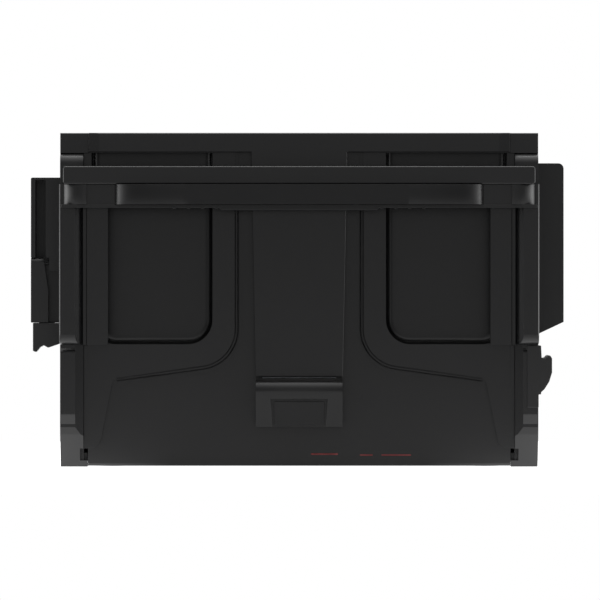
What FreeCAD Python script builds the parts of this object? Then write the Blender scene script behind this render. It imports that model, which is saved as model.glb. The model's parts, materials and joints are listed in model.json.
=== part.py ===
import FreeCAD, Part
import math
import os
import re
import Sketcher

# Drawer-type trash compactor, millimetres.
# +X is the user's right, -Y is the front, +Z is up.
# The origin is at floor level in the middle of the plan.
# Every piece is drawn in this one frame and bound to the sheet called sizes.

SIZES = {
    # overall envelope
    "half_width": 299,
    "top_z": 418,
    "rear_y": 277.5,
    "skin_t": 2.5,
    "cabinet_front": -172,
    "plate_t": 3,
    "skin_low": 3,
    "edge_round": 1.5,
    # base tray and rear panel
    "tray_half": 296,
    "tray_front": -150,
    "tray_rear": 272,
    "tray_low": 8,
    "tray_high": 14,
    "tray_skin": 2,
    "vent_half": 3,
    "vent_pitch": 24,
    "vent_low": 300,
    "vent_high": 372,
    "inlet_left": -195,
    "inlet_right": -165,
    "inlet_low": 50,
    "inlet_high": 72,
    "inlet_front": 250,
    "fixing_x": 200,
    "fixing_low": 150,
    "fixing_high": 330,
    "fixing_r": 3.5,
    "fastener_x": 290,
    "fastener_low": 40,
    "fastener_mid": 210,
    "fastener_high": 390,
    "fastener_r": 2.5,
    "rubber_x": 235,
    "rubber_front": -120,
    "rubber_rear": 245,
    "rubber_r": 18,
    # drawer front, by depth
    "plate_back": -178,
    "apron_y": -190,
    "frame_y": -198,
    "spine_y": -212,
    "panel_half": 269.6,
    "panel_foot": 1.2,
    "panel_head": 414,
    # raised frame on the drawer front
    "frame_inner": 80,
    "frame_low": 125.8,
    "frame_shoulder_x": 233.5,
    "frame_shoulder_z": 109.6,
    "frame_foot_x": 250.6,
    "frame_foot_z": 23.5,
    "frame_round": 47,
    "frame_foot_round": 14,
    "frame_shoulder_round": 5,
    "rib_low": 101,
    "rib_high": 152,
    "rib_proud": 2.5,
    "rib_width": 5,
    "ledge_width": 4,
    "ledge_y": -193.5,
    # recess pans behind the two windows
    "window_inner": 108.5,
    "window_outer": 260,
    "window_low": 153.5,
    "window_high": 393,
    "window_round": 31,
    "pan_wall": 3,
    "pan_back": -150,
    # spine cover and header
    "header_half": 263.5,
    "header_low": 394,
    "header_flat": 250,
    "spine_top_half": 60,
    "spine_low_half": 54.5,
    "spine_low": 113.5,
    # handle
    "cap_half": 294,
    "cap_low": 353.5,
    "cap_high": 375.5,
    "cap_front": -254,
    "cap_front_top": -251,
    "bar_low": 328,
    "bar_high": 353,
    "bar_back": -235,
    "plate_front": -253,
    "plate_step": -249,
    "plate_end_flat": 265,
    "cap_round": 3.5,
    "grip_half": 229.6,
    "grip_flat": 136,
    "grip_front": -277.5,
    "trim_low": 324,
    "trim_half": 296.5,
    "trim_drop": 321,
    "drop_half": 97,
    "ridge_half": 2,
    "ridge_depth": 1.5,
    "ridge_first": 103,
    "ridge_pitch": 17.5,
    # stiles that carry the handle
    "stile_inner": 239,
    "stile_outer": 299.5,
    "stile_low": 153,
    "stile_back": -216,
    "stile_flange_y": -224,
    "stile_groove_y": -220,
    "flange_edge": 265,
    "stile_round": 13,
    "stile_side_round": 3,
    # front posts
    "post_inner": 270,
    "post_bevel": 280,
    "post_front": -211,
    "post_high": 393,
    "post_fall": 3,
    "head_round": 15,
    "pad_front": -215,
    "pad_low": 54,
    "pad_high": 141,
    "foot_slope_z": 41,
    "foot_slope_y": -186,
    "notch_high": 23,
    "notch_low": 8,
    # toe pedal
    "pedal_half": 54,
    "pedal_low": 51,
    "pedal_high": 111.5,
    "pedal_front": -246,
    "pedal_pin_y": -202,
    "pedal_pin_z": 98,
    "pedal_pin_r": 4,
    "pedal_round": 16,
    "pedal_back": -196,
    "pedal_lean": 6,
    "pedal_shell": 5,
    "sight_low_half": 33.3,
    "sight_high_half": 35.8,
    "sight_high": 86,
    "pedal_pad_half": 31,
    "pedal_pad_low": 53.5,
    "pedal_pad_high": 82,
    "pedal_pad_back": 11.5,
    "ear_inner": 38,
    "ear_outer": 43,
    "ear_reach": 6,
    "bracket_half": 46,
    "bracket_low": 70,
    "coil_gap": 1.4,
    "coil_wire": 1,
    "coil_pitch": 2.6,
    "coil_length": 26,
    # red marks
    "mark_t": 0.4,
    "long_mark_left": 14.8,
    "long_mark_right": 48.6,
    "long_mark_low": 15,
    "long_mark_high": 17,
    "short_mark_left": 76,
    "short_mark_right": 92,
    "wide_mark_left": 103,
    "wide_mark_right": 140,
    "thin_mark_low": 14,
    "thin_mark_high": 15.6,
    # waste bin
    "bin_half": 231,
    "bin_wall": 3,
    "bin_front": -130,
    "bin_rear": 165,
    "bin_low": 40,
    "bin_high": 225,
    "rim_high": 229,
    "rim_inset": 9,
    "rim_end_inset": 5,
    "liner_half": 228,
    "liner_low": 30,
    "bin_bracket_inner": 150,
    "bin_bracket_outer": 190,
    "bin_bracket_low": 80,
    "bin_bracket_high": 200,
    # telescopic slides
    "rail_low": 60,
    "rail_high": 105,
    "rail_wall": 2,
    "rail_gap": 0.5,
    "rail_half_length": 165,
    # ram
    "ram_half": 214,
    "ram_front": -120,
    "ram_rear": 155,
    "ram_low": 232,
    "ram_t": 10,
    "ram_round": 12,
    "tower_front": -60,
    "tower_rear": 95,
    "tower_web_front": 15,
    "tower_web_rear": 20,
    "cell_half": 71,
    "cell_middle": 75,
    "beam_end": 292,
    "beam_half_depth": 12.5,
    "tower_half": 150,
    "beam_low": 380,
    "beam_high": 396,
    # side frames and lift screws
    "web_inner": 253,
    "web_outer": 256,
    "web_front": -147.5,
    "web_rear": 269.5,
    "web_low": 10,
    "web_arch_low": 26,
    "web_arch_front": -40,
    "web_arch_rear": 110,
    "slot_front": 3,
    "slot_rear": 32,
    "slot_low": 214,
    "ear_front": -5,
    "ear_rear": 40,
    "low_ear_top": 32,
    "high_ear_low": 400,
    "high_ear_top": 406,
    "bearing_t": 10,
    "low_bearing": 24,
    "high_bearing": 398,
    "screw_x": 275,
    "screw_y": 17.5,
    "screw_r": 8,
    "bearing_r": 13,
    "chain_low": 16,
    "chain_high": 20,
    "chain_inner": 17.8,
    "chain_outer": 20.5,
    "tooth_r": 17.3,
    "motor_x": 150,
    "motor_y": 223,
    "motor_r": 42,
    "motor_low": 58,
    "motor_high": 178,
    "motor_cap_high": 190,
    "motor_cap_inset": 16,
    "sprocket_low": 15,
    "sprocket_high": 21,
    "shaft_low": 13,
    "screw_top": 409,
    "motor_shaft_r": 6,
    "motor_shaft_top": 45,
    "tooth_gap_r": 2.6,
    "case_half": 45,
    "case_half_depth": 42,
    "case_round": 10,
    "box_left": -230,
    "box_right": -120,
    "box_front": 190,
    "box_rear": 250,
    "box_high": 130,
    "shelf_front": 175,
    "shelf_rear": 270,
    "switch_deep": 14,
    "top_switch_front": 36,
    "top_switch_rear": 62,
    "top_switch_low": 330,
    "top_switch_high": 344,
    "drawer_switch_front": 170,
    "drawer_switch_rear": 196,
    "drawer_switch_low": 112,
    "drawer_switch_high": 126,
    "shelf_low": 27,
    "shelf_high": 30,
    # left latch and right housing
    "latch_outer": -337.5,
    "latch_inner": -301.5,
    "latch_low": 180.5,
    "latch_high": 363,
    "latch_mid": 262.5,
    "latch_front": -150,
    "latch_rear": -20,
    "latch_wall": 3,
    "slot_left": -331.9,
    "slot_right": -318.8,
    "slot_deep": 40,
    "lever_right": -315.8,
    "lever_top_right": -321.5,
    "lever_waist": 221,
    "lever_round": 5.4,
    "lever_pin_z": 256.5,
    "lever_pin_r": 3,
    "tooth_top": 180.2,
    "tooth_rear": -100,
    "stem_left": -327.5,
    "stem_right": -309.5,
    "stem_front": -130,
    "stem_rear": -105,
    "stem_top": 215,
    # hook on the right post
    "hook_left": 285,
    "hook_root": 299.2,
    "hook_neck": 302.3,
    "hook_top": 152,
    "hook_mid": 91,
    "hook_low": 74.5,
    "hook_front": -218,
    "hook_rear": -100,
    "lever_back": -140,
    "lever_front": -151,
    "control_outer": 337.5,
    "control_high": 383.5,
    "control_front": 0,
    "control_rear": 200,
    "control_inner": 300.5,
    "control_low": 163.5,
    "control_step": 181,
    "control_round": 7,
    "knob_x": 317,
    "button_y": 50,
    "button_r": 8,
    "switch_y": 100,
    "key_r": 7,
    # filter hatch
    "hatch_half": 120,
    "hatch_front": 180,
    "hatch_rear": 263,
    "hatch_pin_y": 257.5,
    "hatch_pin_z": 415,
    "hatch_pin_r": 1.5,
    "hatch_door_rear": 254,
    "hinge_x": 90,
    "hinge_half": 15,
    "knuckle_r": 3,
    "filter_half": 112,
    "filter_front": 184,
    "filter_rear": 248,
    "filter_low": 388,
    "lip_reach": 6,
    "lip_rear": 252,
}

DOC = FreeCAD.newDocument("trash_compactor")
SHEET = DOC.addObject("Spreadsheet::Sheet", "sizes")
NODES = []


def fill_sheet():
    """Write the driving dimensions, one per row, each with an alias."""
    for row, (alias, value) in enumerate(SIZES.items(), start=1):
        SHEET.set(f"A{row}", alias)
        SHEET.set(f"B{row}", str(value))
        SHEET.setAlias(f"B{row}", alias)
    DOC.recompute()


def formula(text):
    """Point every alias in a formula at the sheet."""
    return re.sub(r"[a-z]+(?:_[a-z]+)+", lambda word: "sizes." + word.group(0), str(text))


def mirrored(side, value):
    """An X position given for the right side, taken to the side +1 or -1."""
    return f"{side} * ({value})"


def keep(item, label):
    """Name a finished sub-part and list it for export."""
    item.Label = label
    NODES.append(item)
    return item


def block(name, x, y, z):
    """A box between two corners, each face a formula."""
    box = DOC.addObject("Part::Box", name)
    for side, letter, (low, high) in (("Length", "x", x), ("Width", "y", y), ("Height", "z", z)):
        box.setExpression(side, formula(f"({high}) - ({low})"))
        box.setExpression("Placement.Base." + letter, formula(low))
    return box


def mirror_span(side, low, high):
    """The X span of a right-hand piece, on the side +1 or -1."""
    if side > 0:
        return (low, high)
    return (f"-({high})", f"-({low})")


TURNS = {
    "x": FreeCAD.Rotation(FreeCAD.Vector(0, 1, 0), 90),
    "y": FreeCAD.Rotation(FreeCAD.Vector(1, 0, 0), -90),
    "z": FreeCAD.Rotation(),
}


def rod(name, axis, start, radius, length):
    """A cylinder along one axis from its start point."""
    bar = DOC.addObject("Part::Cylinder", name)
    bar.Placement = FreeCAD.Placement(FreeCAD.Vector(), TURNS[axis])
    for letter, value in zip("xyz", start):
        bar.setExpression("Placement.Base." + letter, formula(value))
    bar.setExpression("Radius", formula(radius))
    bar.setExpression("Height", formula(length))
    return bar


def group(name, pieces):
    """Several separate solids in one node."""
    bundle = DOC.addObject("Part::Compound", name)
    bundle.Links = pieces
    return bundle


def fused(name, pieces):
    joined = DOC.addObject("Part::MultiFuse", name)
    joined.Shapes = pieces
    return joined


def cut(name, base, tools):
    """The base with every tool taken away."""
    for index, tool in enumerate(tools):
        step = DOC.addObject("Part::Cut", f"{name}_{index}")
        step.Base = base
        step.Tool = tool
        base = step
    return base


def sketch_on(body, plane, offset):
    """A sketch on one of the body's own origin planes, moved along its normal."""
    support = {item.Role: item for item in body.Origin.OriginFeatures}[plane]
    sketch = body.newObject("Sketcher::SketchObject", body.Name + "_sketch")
    sketch.AttachmentSupport = [(support, "")]
    sketch.MapMode = "FlatFace"
    sketch.setExpression("AttachmentOffset.Base.z", formula(offset))
    return sketch


def outline(sketch, points):
    """A closed polygon whose corners are formulas."""
    first = sketch.GeometryCount
    count = len(points)
    turn = 2 * math.pi / count
    loose = [FreeCAD.Vector(50 * math.cos(turn * i), 50 * math.sin(turn * i), 0) for i in range(count)]
    for i in range(count):
        sketch.addGeometry(Part.LineSegment(loose[i], loose[(i + 1) % count]))
    for i in range(count):
        following = first + (i + 1) % count
        sketch.addConstraint(Sketcher.Constraint("Coincident", first + i, 2, following, 1))
    for i, point in enumerate(points):
        place(sketch, first + i, 1, point)


def place(sketch, element, corner, point):
    """Hold one point of a sketch at two formulas from the sketch's origin."""
    for kind, value in zip(("DistanceX", "DistanceY"), point):
        index = sketch.addConstraint(Sketcher.Constraint(kind, -1, 1, element, corner, 1.0))
        sketch.setExpression(f"Constraints[{index}]", formula(value))


def circle(sketch, centre, radius):
    """A circle whose centre and radius are formulas."""
    element = sketch.GeometryCount
    sketch.addGeometry(Part.Circle(FreeCAD.Vector(1, 1, 0), FreeCAD.Vector(0, 0, 1), 5))
    place(sketch, element, 3, centre)
    index = sketch.addConstraint(Sketcher.Constraint("Radius", element, 5.0))
    sketch.setExpression(f"Constraints[{index}]", formula(radius))


def rectangle(x, y):
    """The corners of a rectangle from two spans."""
    return [(x[0], y[0]), (x[1], y[0]), (x[1], y[1]), (x[0], y[1])]


def draw(sketch, shapes):
    """Polygons are lists of points, circles are (centre, radius)."""
    for shape in shapes:
        if isinstance(shape, tuple):
            circle(sketch, shape[0], shape[1])
        else:
            outline(sketch, shape)


# Each origin plane: the side its normal points to, as a sign on the third axis.
PLANE_SIGN = {"XY_Plane": 1, "XZ_Plane": -1, "YZ_Plane": 1}


def pad(body, plane, shapes, low, high):
    """Add material between two levels across a plane."""
    if PLANE_SIGN[plane] > 0:
        sketch = sketch_on(body, plane, low)
    else:
        sketch = sketch_on(body, plane, f"-({high})")
    draw(sketch, shapes)
    feature = body.newObject("PartDesign::Pad", body.Name + "_pad")
    feature.Profile = sketch
    feature.setExpression("Length", formula(f"({high}) - ({low})"))
    return feature


def pocket(body, plane, shapes, low, high):
    """Take material away between two levels across a plane."""
    if PLANE_SIGN[plane] > 0:
        sketch = sketch_on(body, plane, high)
    else:
        sketch = sketch_on(body, plane, f"-({low})")
    draw(sketch, shapes)
    feature = body.newObject("PartDesign::Pocket", body.Name + "_pocket")
    feature.Profile = sketch
    feature.setExpression("Length", formula(f"({high}) - ({low})"))
    return feature


def new_body(name, plane, shapes, low, high):
    body = DOC.addObject("PartDesign::Body", name)
    pad(body, plane, shapes, low, high)
    return body


def dress(body, kind, size_name, size, chosen):
    """A fillet or chamfer on the edges of the body that a test picks."""
    DOC.recompute()
    base = body.Tip
    names = [f"Edge{i}" for i, edge in enumerate(base.Shape.Edges, start=1) if chosen(edge)]
    if not names:
        raise ValueError(f"{body.Name}: no edge to dress")
    feature = body.newObject("PartDesign::" + kind, body.Name + "_dress")
    feature.Base = (base, names)
    feature.setExpression(size_name, formula(size))
    DOC.recompute()
    return feature


def along(axis, **limits):
    """A test for straight edges along one axis with their middle inside limits."""
    def chosen(edge):
        if len(edge.Vertexes) != 2:
            return False
        start = edge.Vertexes[0].Point
        end = edge.Vertexes[1].Point
        step = end - start
        spread = {"x": abs(step.x), "y": abs(step.y), "z": abs(step.z)}
        if spread[axis] < 0.98 * step.Length or spread[axis] < 0.5:
            return False
        middle = (start + end) * 0.5
        spot = {"x": middle.x, "y": middle.y, "z": middle.z}
        return all(low <= spot[name] <= high for name, (low, high) in limits.items())
    return chosen


def round_edges(body, radius, chosen):
    return dress(body, "Fillet", "Radius", radius, chosen)


def bevel_edges(body, size, chosen):
    return dress(body, "Chamfer", "Size", size, chosen)


# ---------------------------------------------------------------- cabinet

FASTENER_ROWS = ("fastener_low", "fastener_mid", "fastener_high")


def cabinet_skins():
    """Base pan, two sides, rear panel with vents and the top with its hatch opening."""
    tray = block("base_outer", ("-tray_half", "tray_half"), ("tray_front", "tray_rear"),
                 ("tray_low", "tray_high"))
    hollow = block("base_inner", ("-tray_half + tray_skin", "tray_half - tray_skin"),
                   ("tray_front + tray_skin", "tray_rear - tray_skin"),
                   ("tray_low + tray_skin", "tray_high + 1"))
    keep(cut("base_pan", tray, [hollow]), "base_pan")
    for side, label in ((-1, "left_side_panel"), (1, "right_side_panel")):
        span = mirror_span(side, "half_width - skin_t", "half_width")
        keep(block(label, span, ("cabinet_front", "rear_y - plate_t"),
                   ("skin_low", "top_z - plate_t")), label)

    rear = new_body("rear_panel", "XZ_Plane",
                    [rectangle(("-half_width", "half_width"), ("skin_low", "top_z - plate_t"))],
                    "rear_y - plate_t", "rear_y")
    slots = []
    for column in range(-4, 5):
        middle = f"{column} * vent_pitch"
        slots.append(rectangle((f"{middle} - vent_half", f"{middle} + vent_half"),
                               ("vent_low", "vent_high")))
    pocket(rear, "XZ_Plane", slots, "rear_y - plate_t", "rear_y")
    pocket(rear, "XZ_Plane", [rectangle(("inlet_left - 0.3", "inlet_right + 0.3"),
                                        ("inlet_low - 0.3", "inlet_high + 0.3"))],
           "rear_y - plate_t", "rear_y")
    holes = [((mirrored(side, "fixing_x"), z), "fixing_r")
             for side in (-1, 1) for z in ("fixing_low", "fixing_high")]
    holes += [((mirrored(side, "fastener_x"), z), "fastener_r + 0.1")
              for side in (-1, 1) for z in FASTENER_ROWS]
    pocket(rear, "XZ_Plane", holes, "rear_y - plate_t", "rear_y")
    keep(rear, "rear_panel")

    top = new_body("top_panel", "XY_Plane",
                   [rectangle(("-half_width", "half_width"), ("cabinet_front", "rear_y"))],
                   "top_z - plate_t", "top_z")
    pocket(top, "XY_Plane", [rectangle(("-hatch_half", "hatch_half"), ("hatch_front", "hatch_rear"))],
           "top_z - plate_t", "top_z")
    round_edges(top, "edge_round", along("x", y=near(SIZES["rear_y"]), z=near(SIZES["top_z"])))
    keep(top, "top_panel")


def front_posts():
    """Two posts that stand on the floor: sloped foot, raised guide pad, bevelled waist, round head."""
    for side, label in ((-1, "left_front_post"), (1, "right_front_post")):
        plan = [(mirrored(side, x), y) for x, y in (
            ("post_inner", "cabinet_front"), ("half_width", "cabinet_front"),
            ("half_width", "post_front"), ("post_bevel", "post_front"),
            ("post_inner", "post_front + post_fall"))]
        post = new_body(label, "XY_Plane", [plan], "0", "cap_low")
        head = rectangle(mirror_span(side, "post_inner", "half_width"), ("post_front", "cabinet_front"))
        pad(post, "XY_Plane", [head], "cap_low", "post_high")
        toe = rectangle(mirror_span(side, "panel_half - 4.7", "post_inner + 5"), ("0", "notch_low"))
        pad(post, "XZ_Plane", [toe], "post_front + post_fall", "cabinet_front")
        foot = [("post_front - 1", "-1"), ("foot_slope_y", "-1"), ("foot_slope_y", "0"),
                ("post_front + 2", "foot_slope_z"), ("post_front", "foot_slope_z + 9"),
                ("post_front - 1", "foot_slope_z + 9")]
        low, high = mirror_span(side, "post_inner - 6", "half_width + 1")
        pocket(post, "YZ_Plane", [foot], low, high)
        notch = rectangle(mirror_span(side, "post_inner - 1", "post_inner + 4.5"),
                          ("notch_low", "notch_high"))
        pocket(post, "XZ_Plane", [notch], "post_front", "cabinet_front - 4")
        guide = [("post_front + 1", "pad_low - 4"), ("post_front", "pad_low"), ("pad_front", "pad_low + 12"),
                 ("pad_front", "pad_high + 4"), ("post_front", "pad_high + 8"),
                 ("post_front + 1", "pad_high + 8")]
        low, high = mirror_span(side, "post_bevel", "half_width - 1")
        pad(post, "YZ_Plane", [guide], low, high)
        round_edges(post, "5", along("x", y=near(SIZES["pad_front"]), z=(50, 150)))
        round_edges(post, "head_round", along("x", y=near(SIZES["post_front"]), z=near(SIZES["post_high"])))
        keep(post, label)


def corner_caps():
    """Two square caps over the heads of the posts."""
    caps = []
    for side in (-1, 1):
        cap = new_body(f"cap{side + 1}", "XZ_Plane",
                       [rectangle(mirror_span(side, "header_half + 0.5", "half_width"),
                                  ("post_high", "top_z"))],
                       "post_front + 9", "cabinet_front")
        round_edges(cap, "edge_round", along("x", z=near(SIZES["top_z"]), y=near(SIZES["post_front"] + 9)))
        caps.append(cap)
    keep(group("corner_caps", caps), "corner_caps")


def side_frames():
    """Inner frames that carry the rails, with a slot for the ram beam and ears for the screws."""
    for side, label in ((-1, "left_side_frame"), (1, "right_side_frame")):
        side_view = [("web_front", "web_low"), ("web_arch_front", "web_low"),
                     ("web_arch_front", "web_arch_low"), ("web_arch_rear", "web_arch_low"),
                     ("web_arch_rear", "web_low"), ("web_rear", "web_low"),
                     ("web_rear", "top_z - plate_t"), ("web_front", "top_z - plate_t")]
        low, high = mirror_span(side, "web_inner", "web_outer")
        web = new_body(label, "YZ_Plane", [side_view], low, high)
        pocket(web, "YZ_Plane", [rectangle(("slot_front", "slot_rear"), ("slot_low", "beam_high + 2"))],
               low, high)
        ear_low, ear_high = mirror_span(side, "web_outer", "half_width - skin_t")
        for bottom, top in (("web_arch_low", "low_ear_top"), ("high_ear_low", "high_ear_top")):
            pad(web, "XY_Plane", [rectangle((ear_low, ear_high), ("ear_front", "ear_rear"))], bottom, top)
            pocket(web, "XY_Plane", [((mirrored(side, "screw_x"), "screw_y"), "bearing_r")], bottom, top)
        front_low, front_high = mirror_span(side, "web_outer", "post_bevel")
        flange = rectangle(("web_front", "web_front + plate_t"), ("liner_low", "high_ear_low"))
        pad(web, "YZ_Plane", [flange], front_low, front_high)
        keep(web, label)


def feet():
    """Four rubber feet under the base pan."""
    pieces = []
    for side in (-1, 1):
        for y in ("rubber_front", "rubber_rear"):
            pieces.append(rod("foot", "z", (mirrored(side, "rubber_x"), y, 0), "rubber_r", "tray_low"))
    keep(group("feet", pieces), "feet")


def panel_screws():
    """Pan-head screws that hold the rear panel, heads flush in its holes."""
    pieces = []
    for side in (-1, 1):
        for z in FASTENER_ROWS:
            start = (mirrored(side, "fastener_x"), "rear_y - 2 * plate_t", z)
            pieces.append(rod("panel_screw", "y", start, "fastener_r", "2 * plate_t"))
    keep(group("panel_screws", pieces), "panel_screws")


# ------------------------------------------------------------ ram and drive

def toothed(name, centre, low, high, shaft_r, shaft_low, shaft_high):
    """A chain sprocket with twelve gaps, in one piece with its shaft."""
    teeth = 12
    x, y = centre
    wheel = new_body(name, "XY_Plane", [((x, y), "tooth_r")], low, high)
    for i in range(teeth):
        turn = 360 / teeth * i
        middle = (f"({x}) + (tooth_r + 1) * cos({turn})", f"({y}) + (tooth_r + 1) * sin({turn})")
        pocket(wheel, "XY_Plane", [(middle, "tooth_gap_r")], low, high)
    pad(wheel, "XY_Plane", [((x, y), shaft_r)], shaft_low, low)
    pad(wheel, "XY_Plane", [((x, y), shaft_r)], high, shaft_high)
    return wheel


def lift_screws():
    """Two screws that lift the ram, each with its sprocket, in four bearings."""
    for side, label in ((-1, "left_power_screw"), (1, "right_power_screw")):
        centre = (mirrored(side, "screw_x"), "screw_y")
        keep(toothed(label, centre, "sprocket_low", "sprocket_high", "screw_r", "shaft_low",
                     "screw_top"), label)
    bearings = []
    for side in (-1, 1):
        for low in ("low_bearing", "high_bearing"):
            centre = (mirrored(side, "screw_x"), "screw_y")
            ring = new_body("bearing", "XY_Plane", [(centre, "bearing_r"), (centre, "screw_r + 0.05")],
                            low, f"{low} + bearing_t")
            bearings.append(ring)
    keep(group("screw_bearings", bearings), "screw_bearings")


def drive_chain():
    """The closed loop round both screw sprockets and the motor sprocket."""
    corners = [(-SIZES["screw_x"], SIZES["screw_y"]), (SIZES["screw_x"], SIZES["screw_y"]),
               (SIZES["motor_x"], SIZES["motor_y"])]
    points = [FreeCAD.Vector(x, y, SIZES["chain_low"]) for x, y in corners]
    core = Part.Face(Part.makePolygon(points + points[:1]))
    outer = core.makeOffset2D(SIZES["chain_outer"], join=0)
    inner = core.makeOffset2D(SIZES["chain_inner"], join=0)
    loop = outer.cut(inner).extrude(FreeCAD.Vector(0, 0, SIZES["chain_high"] - SIZES["chain_low"]))
    chain = DOC.addObject("Part::Feature", "drive_chain")
    chain.Shape = loop.Solids[0]
    keep(chain, "drive_chain")


def motor_group():
    """Shelf, gear case, motor, its sprocket, control box and switches behind the bin."""
    shelf = new_body("drive_shelf", "XY_Plane",
                     [rectangle(("-web_inner", "web_inner"), ("shelf_front", "shelf_rear"))],
                     "shelf_low", "shelf_high")
    pocket(shelf, "XY_Plane", [(("motor_x", "motor_y"), "motor_shaft_r + 4")], "shelf_low", "shelf_high")
    keep(shelf, "drive_shelf")

    case = new_body("gear_case", "XY_Plane",
                    [rectangle(("motor_x - case_half", "motor_x + case_half"),
                               ("motor_y - case_half_depth", "motor_y + case_half_depth"))],
                    "shelf_high", "motor_low")
    pocket(case, "XY_Plane", [(("motor_x", "motor_y"), "motor_shaft_r + 0.05")],
           "shelf_high", "motor_shaft_top + 1")
    round_edges(case, "case_round", along("z", z=(SIZES["shelf_high"], SIZES["motor_low"])))
    keep(case, "gear_case")

    motor = new_body("drive_motor", "XY_Plane", [(("motor_x", "motor_y"), "motor_r")],
                     "motor_low", "motor_high")
    pad(motor, "XY_Plane", [(("motor_x", "motor_y"), "motor_r - motor_cap_inset")], "motor_high",
        "motor_cap_high")
    keep(motor, "drive_motor")
    sprocket = toothed("motor_sprocket", ("motor_x", "motor_y"), "sprocket_low", "sprocket_high",
                       "motor_shaft_r", "shaft_low", "motor_shaft_top")
    keep(sprocket, "motor_sprocket")
    box = new_body("control_box", "XY_Plane",
                   [rectangle(("box_left", "box_right"), ("box_front", "box_rear"))],
                   "shelf_high", "box_high")
    round_edges(box, "frame_shoulder_round - 1", along("z", z=(SIZES["shelf_high"], SIZES["box_high"])))
    keep(box, "control_box")
    keep(block("power_inlet", ("inlet_left", "inlet_right"), ("inlet_front", "rear_y"),
               ("inlet_low", "inlet_high")), "power_inlet")
    switches = [block("top_switch", ("-web_inner", "-web_inner + switch_deep"),
                      ("top_switch_front", "top_switch_rear"), ("top_switch_low", "top_switch_high")),
                block("drawer_switch", ("web_inner - switch_deep", "web_inner"),
                      ("drawer_switch_front", "drawer_switch_rear"),
                      ("drawer_switch_low", "drawer_switch_high"))]
    keep(group("position_switches", switches), "position_switches")


def ram():
    """The plate that presses down, its tower, the cross beam and the two lift nuts."""
    plate = new_body("ram_plate", "XY_Plane",
                     [rectangle(("-ram_half", "ram_half"), ("ram_front", "ram_rear"))],
                     "ram_low", "ram_low + ram_t")
    round_edges(plate, "ram_round", along("z", z=(SIZES["ram_low"], SIZES["ram_low"] + SIZES["ram_t"])))
    keep(plate, "ram_plate")

    tower = new_body("ram_tower", "XY_Plane",
                     [rectangle(("-tower_half", "tower_half"), ("tower_front", "tower_rear"))],
                     "ram_low + ram_t", "beam_low")
    cells = [rectangle(mirror_span(side, "cell_middle - cell_half", "cell_middle + cell_half"),
                       ("ram_low + ram_t + 4", "beam_low - 4")) for side in (-1, 1)]
    pocket(tower, "XZ_Plane", cells, "tower_front", "tower_web_front")
    pocket(tower, "XZ_Plane", cells, "tower_web_rear", "tower_rear")
    keep(tower, "ram_tower")

    beam = new_body("ram_beam", "XY_Plane",
                    [rectangle(("-beam_end", "beam_end"),
                               ("screw_y - beam_half_depth", "screw_y + beam_half_depth"))],
                    "beam_low", "beam_high")
    for side in (-1, 1):
        centre = (mirrored(side, "screw_x"), "screw_y")
        pocket(beam, "XY_Plane", [(centre, "screw_r + 3")], "beam_low", "beam_high")
    keep(beam, "ram_beam")
    nuts = []
    for side in (-1, 1):
        centre = (mirrored(side, "screw_x"), "screw_y")
        nut = new_body("lift_nut", "XY_Plane", [(centre, "screw_r + 3"), (centre, "screw_r + 0.05")],
                       "beam_low - 6", "beam_high")
        pad(nut, "XY_Plane", [(centre, "screw_r + 7"), (centre, "screw_r + 0.05")],
            "beam_low - 6", "beam_low")
        nuts.append(nut)
    keep(group("lift_nuts", nuts), "lift_nuts")


# ------------------------------------------------------------------ slides

def channel(name, side, inner, outer, low, high):
    """A rail with a C section that opens towards the middle of the cabinet."""
    section = [(mirrored(side, x), z) for x, z in (
        (inner, low), (outer, low), (outer, high), (inner, high),
        (inner, f"{high} - rail_wall"), (f"{outer} - rail_wall", f"{high} - rail_wall"),
        (f"{outer} - rail_wall", f"{low} + rail_wall"), (inner, f"{low} + rail_wall"))]
    return new_body(name, "XZ_Plane", [section], "-rail_half_length", "rail_half_length")


def slides():
    """Three nested rails a side: outer on the cabinet, middle, inner on the bin."""
    step = "rail_wall + rail_gap"
    rows = {"slide_outer_members": ("web_inner - 13", "web_inner", "rail_low", "rail_high"),
            "slide_middle_members": ("web_inner - 17", f"web_inner - ({step})",
                                     f"rail_low + ({step})", f"rail_high - ({step})"),
            "slide_inner_members": ("bin_half", f"web_inner - 2 * ({step})",
                                    f"rail_low + 2 * ({step})", f"rail_high - 2 * ({step})")}
    for label, (inner, outer, low, high) in rows.items():
        pair = [channel(f"rail{side + 1}", side, inner, outer, low, high) for side in (-1, 1)]
        keep(group(label, pair), label)


# ------------------------------------------------------------------ drawer

def raised_frame(side):
    """Outline of one raised frame on the drawer front, seen from the front."""
    corners = (("frame_inner", "panel_head"), ("frame_inner", "frame_low"),
               ("frame_shoulder_x", "frame_shoulder_z"), ("frame_foot_x", "frame_foot_z"),
               ("panel_half", "frame_foot_z"), ("panel_half", "panel_head"))
    return [(mirrored(side, x), z) for x, z in corners]


def frame_ledge(side):
    """Outline of the lower ledge that runs round the inner and lower edge of a raised frame."""
    corners = (("frame_inner - ledge_width", "panel_head"),
               ("frame_inner - ledge_width", "frame_low - ledge_width"),
               ("frame_shoulder_x + 4", "frame_shoulder_z - ledge_width - 0.4"),
               ("frame_shoulder_x + 4", "panel_head"))
    return [(mirrored(side, x), z) for x, z in corners]


def window(side, inset):
    """Outline of one window, moved outwards by an inset."""
    spread = mirror_span(side, f"window_inner - ({inset})", f"window_outer + ({inset})")
    return rectangle(spread, (f"window_low - ({inset})", f"window_high + ({inset})"))


def near(value, reach=0.6):
    return (value - reach, value + reach)


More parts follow.
